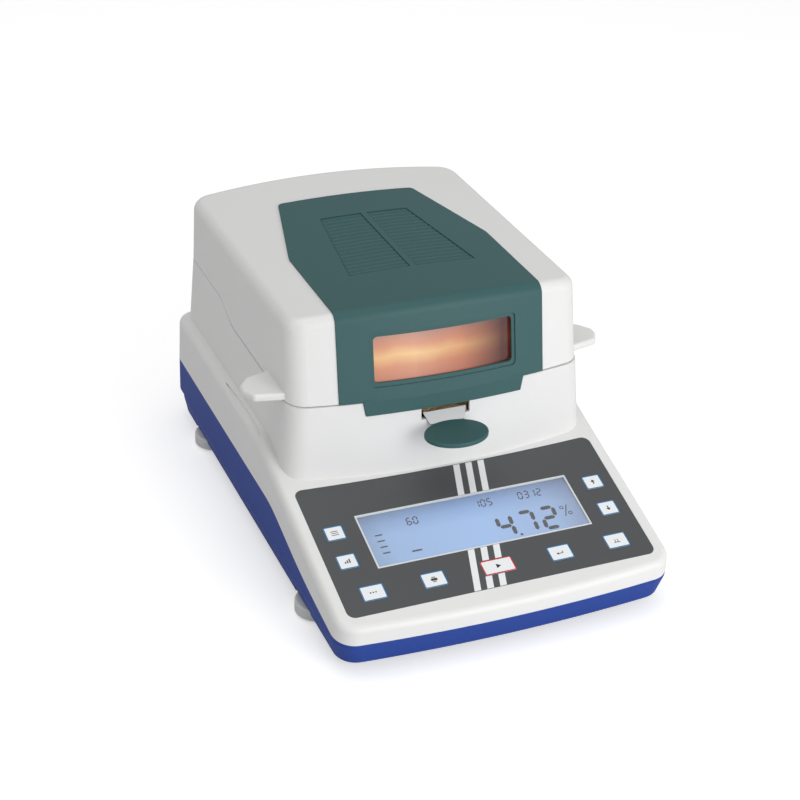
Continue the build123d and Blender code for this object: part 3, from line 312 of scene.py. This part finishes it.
def prism(builder, outline, place, low, high, material_index=0):
    """Closed thin prism over a flat outline; place turns (x, v, lift) into a point."""
    base = [builder.verts.new(place(x, v, low)) for x, v in outline]
    top = [builder.verts.new(place(x, v, high)) for x, v in outline]
    faces = [builder.faces.new(list(reversed(base))), builder.faces.new(top)]
    for i in range(len(outline)):
        j = (i + 1) % len(outline)
        faces.append(builder.faces.new((base[i], base[j], top[j], top[i])))
    for face in faces:
        face.material_index = material_index


def ring_prism(builder, outer, inner, place, low, high):
    """Closed thin ring between two outlines with the same number of points."""
    loops = [[builder.verts.new(place(x, v, lift)) for x, v in outline]
             for outline, lift in ((outer, low), (outer, high), (inner, high), (inner, low))]
    count = len(outer)
    for a, b in ((0, 1), (1, 2), (2, 3), (3, 0)):
        for i in range(count):
            j = (i + 1) % count
            builder.faces.new((loops[a][i], loops[a][j], loops[b][j], loops[b][i]))


def placed(outline, scale, x=0.0, v=0.0):
    """An outline made larger and moved."""
    return [(x + scale * px, v + scale * pv) for px, pv in outline]


def rounded_rectangle(x, v, width, height, radius, steps=5):
    """Outline of a rectangle with round corners."""
    points = []
    for turn in range(4):
        corner_x = x + (width / 2 - radius) * (1 if turn in (0, 3) else -1)
        corner_v = v + (height / 2 - radius) * (1 if turn in (0, 1) else -1)
        for step in range(steps + 1):
            angle = math.radians(90 * turn + 90 * step / steps)
            points.append((corner_x + radius * math.cos(angle), corner_v + radius * math.sin(angle)))
    return points


def bar(x, v, width, height):
    """Outline of a plain bar."""
    return [(x - width / 2, v - height / 2), (x + width / 2, v - height / 2),
            (x + width / 2, v + height / 2), (x - width / 2, v + height / 2)]


def disc(x, v, radius, steps=20):
    """Outline of a round spot."""
    turns = [2 * math.pi * step / steps for step in range(steps)]
    return [(x + radius * math.cos(turn), v + radius * math.sin(turn)) for turn in turns]


def arrow(way, size=1.1):
    """Head and shaft of an arrow that points up the slope (way -1) or down it (way 1)."""
    head = [(-size / 2, way * size * 0.05), (size / 2, way * size * 0.05), (0, way * size * 0.6)]
    return [head, bar(0, -way * size * 0.25, size * 0.26, size * 0.6)]


# Generic symbols on the keys, in symbol units from the key's middle
KEY_SYMBOLS = {
    "key_left_upper": [bar(0, step * 0.5, 1.6, 0.16) for step in (-1, 0, 1)],
    "key_left_lower": [bar(-0.5, 0.25, 0.28, 0.5), bar(0, 0.1, 0.28, 0.8), bar(0.5, -0.05, 0.28, 1.1)],
    "key_right_upper": arrow(-1),
    "key_right_lower": arrow(1),
    "key_menu": [disc(step * 0.6, 0, 0.18) for step in (-1, 0, 1)],
    "key_print": [bar(0, 0, 1.4, 0.6), bar(0, -0.55, 0.8, 0.2), bar(0, 0.55, 0.8, 0.2)],
    "key_enter": [bar(0, 0.2, 1.2, 0.18), bar(0.52, -0.12, 0.18, 0.5),
                  [(-1, 0.2), (-0.5, -0.15), (-0.5, 0.55)]],
    "key_tare": [bar(0, 0.45, 1.5, 0.16), bar(-0.3, 0, 0.16, 0.7), bar(0.3, 0, 0.16, 0.7)],
    "key_start": [[(-0.4, -0.6), (0.7, 0), (-0.4, 0.6)]],
}

# Marks beside the display's figures, in millimetres: decimal point, slash of the percent sign, scale and dash
DISPLAY_MARKS = (
    disc(27.0, 67.4, 1.0),
    [(66.9, 50.6), (67.7, 50.6), (63.3, 60.0), (62.5, 60.0)],
    *[bar(-66.0, v, 5.0, 1.1) for v in (45.0, 50.0, 55.0, 60.0)],
    bar(-46.0, 63.0, 7.0, 1.3),
)
PERCENT_RINGS = ((63.0, 52.5), (67.2, 58.0))
PERCENT_OUTER, PERCENT_INNER = 1.5, 0.9


def figure(character, x, v, width, height, stroke):
    """Seven-segment figure, x and v at its upper left corner, slanted like a display's."""
    half = height / 2
    tip = stroke / 2
    gap = stroke * SEGMENT_GAP
    rows = {"a": 0.0, "g": half, "d": height}
    sides = {"f": (0.0, 0.0), "b": (width, 0.0), "e": (0.0, half), "c": (width, half)}
    outlines = []
    for name in SEGMENTS[character]:
        if name in rows:
            y = rows[name]
            outlines.append([(gap, y), (tip + gap, y - tip), (width - tip - gap, y - tip),
                             (width - gap, y), (width - tip - gap, y + tip), (tip + gap, y + tip)])
        else:
            side, top = sides[name]
            foot = top + half
            outlines.append([(side, top + gap), (side + tip, top + tip + gap),
                             (side + tip, foot - tip - gap), (side, foot - gap),
                             (side - tip, foot - tip - gap), (side - tip, top + tip + gap)])
    return [[(x + px + (height - py) * FIGURE_SLANT, v + py) for px, py in outline] for outline in outlines]


def color_property(name, description, hex_code):
    """Colour that a user can pick, from its sRGB hex value."""
    return FloatVectorProperty(name=name, description=description, default=linear(hex_code)[:3],
                               subtype="COLOR", min=0.0, max=1.0)


class AnalyserColors(PropertyGroup):
    """Main colours of the object."""

    housing: color_property("Housing", "Upper housing and lid shell", "E9E9E8")
    tray: color_property("Tray", "Bottom tray", "2A479A")
    insert: color_property("Insert", "Insert of the lid and paddle of the pan lifter", "395F60")
    feet: color_property("Feet", "Wheels of the levelling feet", "D8DAD9")
    film: color_property("Film", "Film of the console", "505254")
    figures: color_property("Figures", "Segments of the display", "10182A")


class AnalyserSizes(PropertyGroup):
    """Sizes, lights and view that a user would change."""

    film_length: FloatProperty(name="Film length", description="Film from its top down to its foot",
                               default=105 * MM, unit="LENGTH")
    print_height: FloatProperty(name="Print height", description="Thickness of the printed ink",
                                default=0.03 * MM, unit="LENGTH")
    key_border: FloatProperty(name="Key border", description="Width of the coloured border of a key",
                              default=0.75 * MM, unit="LENGTH")
    bar_count: IntProperty(name="Bars", description="Slanting bars printed on the film", default=3, min=0)
    bar_left: FloatProperty(name="Bars' left edge", description="Left edge of the first bar, at the top",
                            default=5 * MM, unit="LENGTH")
    bar_pitch: FloatProperty(name="Bar pitch", description="From one bar to the next", default=9 * MM,
                             unit="LENGTH")
    bar_width: FloatProperty(name="Bar width", description="Width of a bar across the film", default=4.6 * MM,
                             unit="LENGTH")
    bar_slant: FloatProperty(name="Bar slant", description="How far a bar runs sideways for each step down",
                             default=-0.27)
    rib_count: IntProperty(name="Louvre ribs", description="Ribs in each louvre block", default=17, min=3)
    rib_front: FloatProperty(name="Louvre front", description="Front edge of the louvres",
                             default=4 * MM, unit="LENGTH")
    rib_rear: FloatProperty(name="Louvre rear", description="Rear edge of the louvres",
                            default=95 * MM, unit="LENGTH")
    air_strength: FloatProperty(name="Studio air", description="Brightness of the even light all round",
                                default=0.5)
    floor_glow: FloatProperty(name="Floor glow", description="Glow of the lit table as the camera sees it",
                              default=0.5)
    front_power: FloatProperty(name="Front light", description="Power of the light in front", default=15.0,
                               unit="POWER")
    top_power: FloatProperty(name="Top light", description="Power of the light above", default=7.0,
                             unit="POWER")
    focal_length: FloatProperty(name="Focal length", description="Lens in millimetres on a 36 mm sensor",
                                default=78.32)
    camera_place: FloatVectorProperty(name="Camera place", description="Where the camera stands",
                                      default=(-434.7 * MM, -960.5 * MM, 691.6 * MM),
                                      subtype="XYZ", unit="LENGTH")
    camera_yaw: FloatProperty(name="Camera yaw", description="Turn about the vertical, from looking along +Y",
                              default=math.radians(24.02), subtype="ANGLE")
    camera_pitch: FloatProperty(name="Camera pitch", description="How far the camera looks down",
                                default=math.radians(30.03), subtype="ANGLE")
    camera_roll: FloatProperty(name="Camera roll", description="Turn about the line of sight",
                               default=math.radians(2.75), subtype="ANGLE")


def add_area_light(name, place, size, power):
    """Square studio light that faces the object."""
    data = bpy.data.lights.new(name, "AREA")
    data.size = size
    data.energy = power
    light = bpy.data.objects.new(name, data)
    light.location = place
    light.rotation_euler = (LIGHT_TARGET - place).to_track_quat("-Z", "Y").to_euler()
    bpy.context.scene.collection.objects.link(light)


class ANALYSER_OT_stage(Operator):
    """Pale floor, soft studio lights and the camera"""

    bl_idname = "analyser.stage"
    bl_label = "Stage and camera"

    def execute(self, context):
        values = context.scene.analyser_sizes
        self.add_floor(values.floor_glow)
        world = bpy.data.worlds.new("studio_air")
        world.use_nodes = True
        air = world.node_tree.nodes["Background"]
        air.inputs["Color"].default_value = linear("FFFFFF")
        air.inputs["Strength"].default_value = values.air_strength
        context.scene.world = world
        add_area_light("front_light", FRONT_LIGHT_PLACE, FRONT_LIGHT_SIZE, values.front_power)
        add_area_light("top_light", TOP_LIGHT_PLACE, TOP_LIGHT_SIZE, values.top_power)
        self.add_camera(context, values)
        context.scene.view_settings.view_transform = "Standard"
        return {"FINISHED"}

    def add_floor(self, floor_glow):
        """Pale floor that reaches past the camera's view."""
        # Matt paper over a light table: plain and pale, with no gloss
        paper = finish("matt_studio_paper", "E2E2E2", 0.9, grain_mm=2.0, bump=0.02, variation=0.005)
        tree = paper.node_tree
        # The table is lit from below only for the camera, so that its white doesn't wash out the tray
        path = add_node(tree, "ShaderNodeLightPath")
        glow = add_node(tree, "ShaderNodeMath", {0: path.outputs["Is Camera Ray"]}, operation="MULTIPLY")
        glow.inputs[1].default_value = floor_glow
        shader = tree.nodes["Principled BSDF"]
        shader.inputs["Emission Color"].default_value = linear("FFFFFF")
        tree.links.new(glow.outputs["Value"], shader.inputs["Emission Strength"])
        builder = bmesh.new()
        bmesh.ops.create_grid(builder, x_segments=4, y_segments=4, size=FLOOR_HALF_WIDTH)
        floor = add_object("studio_floor", builder, (paper,))

    def add_camera(self, context, values):
        """Camera at the photograph's angle."""
        data = bpy.data.cameras.new("camera")
        data.lens = values.focal_length
        data.sensor_width = SENSOR_WIDTH
        data.clip_start = CLIP_START
        data.clip_end = CLIP_END
        camera = bpy.data.objects.new("camera", data)
        context.scene.collection.objects.link(camera)
        yaw, pitch, roll = values.camera_yaw, values.camera_pitch, values.camera_roll
        forward = Vector((math.sin(yaw) * math.cos(pitch), math.cos(yaw) * math.cos(pitch), -math.sin(pitch)))
        level = Vector((math.cos(yaw), -math.sin(yaw), 0))
        upward = level.cross(forward)
        right = level * math.cos(roll) + upward * math.sin(roll)
        top = upward * math.cos(roll) - level * math.sin(roll)
        matrix = camera.matrix_world.copy()
        for column, vector in enumerate((right, top, -forward, values.camera_place)):
            for row in range(3):
                matrix[row][column] = vector[row]
        camera.matrix_world = matrix
        context.scene.camera = camera


class ANALYSER_OT_mouldings(Operator):
    """Plastics and rubber of the housing, the lid, the feet and the connectors"""

    bl_idname = "analyser.mouldings"
    bl_label = "Mouldings"

    def execute(self, context):
        colors = context.scene.analyser_colors
        # Moulded ABS: soft highlights, broken by the spark-eroded grain of the mould. The real grain is
        # about 0.1 mm, and here and on the other mouldings it is drawn coarser, so that it shows
        white = finish("moulded_white_abs", colors.housing, 0.42, grain_mm=0.9, bump=0.12, variation=0.015)
        assign(white, "upper_housing", "lid_shell", "lid_posts")
        # The same plastic, dyed: a deep blue with a soft sheen
        blue = finish("moulded_blue_abs", colors.tray, 0.5, grain_mm=0.9, bump=0.12, variation=0.04,
                      Specular_IOR_Level=0.2)
        assign(blue, "bottom_tray")
        # Glass-filled PBT: duller than the housing, grey green
        green = finish("moulded_green_pbt", colors.insert, 0.5, grain_mm=1.1, bump=0.16, variation=0.05,
                       Specular_IOR_Level=0.3)
        assign(green, "lid_insert", "lifter_paddle")
        # Moulded polypropylene: pale grey, waxy
        grey = finish("moulded_grey_polypropylene", colors.feet, 0.5, grain_mm=1.0, bump=0.1)
        assign(grey, *[f"foot_wheel_{corner}" for corner in CORNERS])
        # Moulded rubber: almost black, dull, with grey patches of bloom
        rubber = finish("moulded_black_rubber", "2A2A2B", 0.75, grain_mm=0.7, bump=0.25, variation=0.1)
        assign(rubber, "lid_buffers", *[f"foot_sole_{corner}" for corner in CORNERS])
        # Moulded nylon of inlet and switch: near black, slight gloss
        nylon = finish("moulded_black_nylon", "1B1C1D", 0.38, grain_mm=0.6, bump=0.1)
        assign(nylon, "power_inlet", "fuse_drawer", "switch_body", "rocker")
        return {"FINISHED"}


class ANALYSER_OT_metalwork(Operator):
    """Steel, aluminium and brass of the chamber, the hinges and the balance"""

    bl_idname = "analyser.metalwork"
    bl_label = "Metalwork"

    def execute(self, context):
        # Cold-rolled steel sheet: grey with fine rolling lines
        steel = finish("rolled_steel", "B9BBBC", 0.3, grain_mm=0.5, bump=0.12, stretch=(0.08, 1.0, 1.0),
                       Metallic=1.0)
        assign(steel, "chamber_liner", "hinge_brackets", "hinge_pins", "lid_inner_frame", "glass_clips",
               "lid_screws", "housing_screws", "temperature_sensor", "lid_hinge_arms", "pan_support",
               "lifter_ring", "serial_port")
        # Milled aluminium: pale, with the cutter's lines along the block
        aluminium = finish("milled_aluminium", "C9CACC", 0.34, grain_mm=0.4, bump=0.12,
                           stretch=(1.0, 0.1, 1.0), Metallic=1.0)
        assign(aluminium, "load_cell", "load_cell_base")
        # Pressed aluminium foil: bright, softly dented
        foil = finish("pressed_aluminium_foil", "D6D7D8", 0.3, grain_mm=4.0, bump=0.12, Metallic=1.0)
        assign(foil, "sample_pan")
        # Turned brass: yellow, with lines round it
        brass = finish("turned_brass", "C8A860", 0.3, grain_mm=0.4, bump=0.1, stretch=(1.0, 1.0, 0.1),
                       Metallic=1.0)
        assign(brass, "foot_nuts")
        return {"FINISHED"}


class ANALYSER_OT_boards(Operator):
    """Ceramic, circuit boards and the level, inside the case"""

    bl_idname = "analyser.boards"
    bl_label = "Boards and level"

    def execute(self, context):
        # Fired ceramic: chalky cream, with a gritty face
        ceramic = finish("fired_ceramic_board", "E6E0D2", 0.8, grain_mm=0.8, bump=0.25, variation=0.06)
        assign(ceramic, "insulation_board", "lamp_holders")
        # Soldered board under green lacquer: glossy, its tracks a shade darker
        board = finish("soldered_circuit_board", "1F5A34", 0.4, grain_mm=1.5, bump=0.3, variation=0.25)
        assign(board, "main_board", "power_supply", "keypad_board")
        # Cast acrylic with the level's tinted liquid behind it
        acrylic = clear_sheet("cast_acrylic", "E8F4D8", 0.05, 1.49, 0.45)
        assign(acrylic, "bubble_level")
        return {"FINISHED"}


def printed_ink(name, color, roughness=0.4, bump=0.04, variation=0.02):
    """Screen-printed ink: an even, satin colour, a little raised."""
    return finish(name, color, roughness, grain_mm=0.5, bump=bump, variation=variation)


class ANALYSER_OT_keys(Operator):
    """Nine keys with printed borders and generic symbols"""

    bl_idname = "analyser.keys"
    bl_label = "Keys"

    def execute(self, context):
        values = context.scene.analyser_sizes
        plane = ConsolePlane(values.film_length)
        blue_ink = printed_ink("printed_blue_ink", "1E7DB4")
        red_ink = printed_ink("printed_red_ink", "D8263C")
        black_ink = printed_ink("printed_black_ink", "2B2D30", roughness=0.45, variation=0.05)
        key_face = printed_ink("printed_key_polyester", "F1F4F6", roughness=0.35, variation=0.01)
        assign(key_face, *KEYS)
        for name in KEYS:
            (x, v), (width, height), top = plane.key(name)
            ink_top = top + values.print_height
            inset = 2 * values.key_border
            outer = rounded_rectangle(x, v, width, height, KEY_OUTER_RADIUS)
            inner = rounded_rectangle(x, v, width - inset, height - inset, KEY_INNER_RADIUS)
            builder = bmesh.new()
            ring_prism(builder, outer, inner, plane.point, top, ink_top)
            for outline in KEY_SYMBOLS[name]:
                prism(builder, placed(outline, height * SYMBOL_UNIT, x, v), plane.point, top, ink_top, 1)
            border_ink = red_ink if name == "key_start" else blue_ink
            add_piece(f"{name}_print", builder, (border_ink, black_ink), name)
        return {"FINISHED"}


class ANALYSER_OT_film(Operator):
    """Grey film of the console with its slanting white bars"""

    bl_idname = "analyser.film"
    bl_label = "Film and bars"

    def execute(self, context):
        values = context.scene.analyser_sizes
        plane = ConsolePlane(values.film_length)
        # Screen-printed polyester film: even dark grey, fine satin grain
        film = finish("printed_polyester_film", context.scene.analyser_colors.film, 0.45, grain_mm=0.4,
                      bump=0.06, variation=0.02, Specular_IOR_Level=0.35)
        assign(film, "keypad_foil")
        silver = printed_ink("printed_silver_border", "DCE0E4", bump=0.05)
        assign(silver, "display_frame")
        white_ink = printed_ink("printed_white_ink", "EFF1F2", variation=0.01)

        frame_rows = [plane.down(point) for point in node_points("display_frame")]
        (key_x, key_v), (key_width, key_height), _ = plane.key("key_start")
        key_top, key_foot = key_v - key_height / 2 - BAR_GAP_KEY, key_v + key_height / 2 + BAR_GAP_KEY
        key_left, key_right = key_x - key_width / 2 - BAR_GAP_KEY, key_x + key_width / 2 + BAR_GAP_KEY
        spans = ((BAR_GAP_TOP, min(frame_rows) - BAR_GAP_DISPLAY),
                 (max(frame_rows) + BAR_GAP_DISPLAY, key_top),
                 (key_top, key_foot),
                 (key_foot, values.film_length - BAR_GAP_FOOT))
        builder = bmesh.new()
        for index in range(values.bar_count):
            left = values.bar_left + index * values.bar_pitch
            right = left + values.bar_width
            for top, foot in spans:
                drift_top, drift_foot = values.bar_slant * top, values.bar_slant * foot
                beside_key = right + max(drift_top, drift_foot) < key_left
                beside_key = beside_key or left + min(drift_top, drift_foot) > key_right
                if top == key_top and not beside_key:
                    continue
                outline = [(left + drift_top, top), (right + drift_top, top),
                           (right + drift_foot, foot), (left + drift_foot, foot)]
                prism(builder, outline, plane.point, 0.0, values.print_height)
        add_piece("film_bars", builder, (white_ink,), "case")
        return {"FINISHED"}


class ANALYSER_OT_display(Operator):
    """Lit display with its window and figures"""

    bl_idname = "analyser.display"
    bl_label = "Display"

    def execute(self, context):
        values = context.scene.analyser_sizes
        plane = ConsolePlane(values.film_length)
        low, high = box_of("display_frame")
        half = (high.x - low.x) / 2
        # Backlit liquid crystal: even pale blue, deeper towards its ends, with painted shadow darkening its
        # rear edge under the frame
        lit = glowing("backlit_liquid_crystal",
                      ((0.0, "7E9CC4"), (0.1, "8FB2E0"), (0.5, "96BCF0"), (0.85, "92B2E0"), (1.0, "788FB4")),
                      0.9, ("X", -half, half), roughness=0.5, ripple_mm=40.0, ripple=0.03,
                      # Painted shadow: the glow darkens towards the rear edge, where the frame shades it
                      painted_shade=(("Y", low.y, high.y),
                            ((0.0, "FFFFFF"), (0.55, "FFFFFF"), (0.8, "DCE2EA"), (0.97, "A8B2C0"))))
        assign(lit, "lcd_module")
        # Clear polyester: it shows only by a faint gloss
        pane = clear_sheet("clear_polyester_window", "FFFFFF", 0.08, 1.5, 0.08)
        assign(pane, "display_window")
        # Dark segments under the glass: flat, with no gloss of their own
        segment = finish("liquid_crystal_segment", context.scene.analyser_colors.figures, 0.8, grain_mm=0.5,
                         bump=0.02, variation=0.05, Specular_IOR_Level=0.1)

        face = max(plane.lift(point) for point in node_points("lcd_module"))
        top = face + values.print_height
        builder = bmesh.new()
        outlines = list(DISPLAY_MARKS)
        for text, x, v, step, width, height, stroke in FIGURES:
            for index, character in enumerate(text):
                outlines += figure(character, x + index * step, v, width, height, stroke)
        for outline in outlines:
            prism(builder, placed(outline, MM), plane.point, face, top)
        for x, v in PERCENT_RINGS:
            outer, inner = disc(x, v, PERCENT_OUTER), disc(x, v, PERCENT_INNER)
            ring_prism(builder, placed(outer, MM), placed(inner, MM), plane.point, face, top)
        add_piece("display_figures", builder, (segment,), "case")
        return {"FINISHED"}


class ANALYSER_OT_louvres(Operator):
    """Two blocks of ribs in the pockets of the lid's insert"""

    bl_idname = "analyser.louvres"
    bl_label = "Louvres"

    def execute(self, context):
        values = context.scene.analyser_sizes
        insert = frame["nodes"]["lid_insert"]
        pitch = (values.rib_rear - values.rib_front) / values.rib_count
        half = pitch * RIB_HALF_WIDTH
        builder = bmesh.new()
        for side in (-1, 1):
            for index in range(values.rib_count):
                share = (index + 0.5) / values.rib_count
                y = values.rib_front + share * (values.rib_rear - values.rib_front)
                reach = LOUVRE_FRONT_REACH + share * (LOUVRE_REAR_REACH - LOUVRE_FRONT_REACH)
                sections = []
                for step in range(RIB_STEPS + 1):
                    x = side * (LOUVRE_CHANNEL + (reach - LOUVRE_CHANNEL) * step / RIB_STEPS)
                    hit, place, _, _ = insert.ray_cast(Vector((x, y, RAY_START)), Vector((0, 0, -1)))
                    if not hit:
                        raise RuntimeError("the louvres miss the insert")
                    sections.append([builder.verts.new((x, y + across * half, place.z + height))
                                     for across, height in RIB_SECTION])
                for a, b in zip(sections, sections[1:]):
                    for i in range(len(RIB_SECTION)):
                        j = (i + 1) % len(RIB_SECTION)
                        builder.faces.new((a[i], a[j], b[j], b[i]))
                builder.faces.new(sections[0])
                builder.faces.new(list(reversed(sections[-1])))
        green = bpy.data.materials["moulded_green_pbt"]
        add_piece("lid_louvres", builder, (green,), "lid")
        return {"FINISHED"}


class ANALYSER_OT_heater(Operator):
    """Window of the lid, its glow painted in, and the heating unit behind it"""

    bl_idname = "analyser.heater"
    bl_label = "Window and heater"

    def execute(self, context):
        low, high = box_of("window_glass")
        # Heat-resistant glass with painted light: a warm glow painted in bands, brightest in the middle, and
        # painted shade that makes it dark at the right end
        glass_painted_glow = glowing("heat_glass_painted_glow",
                            ((0.0, "C08272"), (0.3, "DC9A78"), (0.52, "F6CC92"), (0.7, "DE9E7C"),
                             (1.0, "A8847F")),
                            0.95, ("Z", low.z, high.z), roughness=0.22, ripple_mm=26.0, ripple=0.1,
                            # Painted shade: the painted glow darkens to deep brown towards the right end
                            painted_shade=(("X", low.x, high.x),
                                  ((0.0, "F0E0D8"), (0.3, "FFFFFF"), (0.62, "E4CABE"), (0.92, "5C3028"))))
        assign(glass_painted_glow, "window_glass")
        # Polished borosilicate: almost colourless, with sharp reflections
        glass = clear_sheet("polished_borosilicate", "F6FAF8", 0.03, 1.47, 0.15)
        assign(glass, "protective_glass", "halogen_lamp")
        # Polished aluminium sheet: a mirror, softened by its rolling lines
        mirror = finish("polished_aluminium_sheet", "E4E2DE", 0.16, grain_mm=1.5, bump=0.1,
                        stretch=(0.1, 1.0, 1.0), Metallic=1.0)
        assign(mirror, "reflector")
        # Glowing tungsten: its coils are too fine to show, so the glow flickers along it instead
        coil = glowing("glowing_tungsten", ((0.0, "FFB060"), (1.0, "FFD9A0")), 6.0,
                       ("X", -FILAMENT_HALF_LENGTH, FILAMENT_HALF_LENGTH), ripple_mm=2.0, ripple=0.4)
        assign(coil, "lamp_filament")
        return {"FINISHED"}


class ANALYSER_PT_panel(Panel):
    """Sidebar list of the pieces, their colours and their sizes"""

    bl_idname = "ANALYSER_PT_panel"
    bl_label = "Moisture Analyser"
    bl_space_type = "VIEW_3D"
    bl_region_type = "UI"
    bl_category = "Analyser"

    def draw(self, context):
        for operator in OPERATORS:
            self.layout.operator(operator.bl_idname)
        for group in (context.scene.analyser_colors, context.scene.analyser_sizes):
            for name in type(group).__annotations__:
                self.layout.prop(group, name)


OPERATORS = (
    ANALYSER_OT_stage, ANALYSER_OT_mouldings, ANALYSER_OT_metalwork, ANALYSER_OT_boards, ANALYSER_OT_keys,
    ANALYSER_OT_film, ANALYSER_OT_display, ANALYSER_OT_louvres, ANALYSER_OT_heater,
)
CLASSES = (AnalyserColors, AnalyserSizes, *OPERATORS, ANALYSER_PT_panel)


def register():
    for item in CLASSES:
        bpy.utils.register_class(item)
    bpy.types.Scene.analyser_colors = PointerProperty(type=AnalyserColors)
    bpy.types.Scene.analyser_sizes = PointerProperty(type=AnalyserSizes)


def unregister():
    del bpy.types.Scene.analyser_sizes
    del bpy.types.Scene.analyser_colors
    for item in reversed(CLASSES):
        bpy.utils.unregister_class(item)


def main():
    register()
    bpy.ops.analyser.stage()
    bpy.ops.analyser.mouldings()
    bpy.ops.analyser.metalwork()
    bpy.ops.analyser.boards()
    bpy.ops.analyser.keys()
    bpy.ops.analyser.film()
    bpy.ops.analyser.display()
    bpy.ops.analyser.louvres()
    bpy.ops.analyser.heater()


if __name__ == "__main__":
    main()
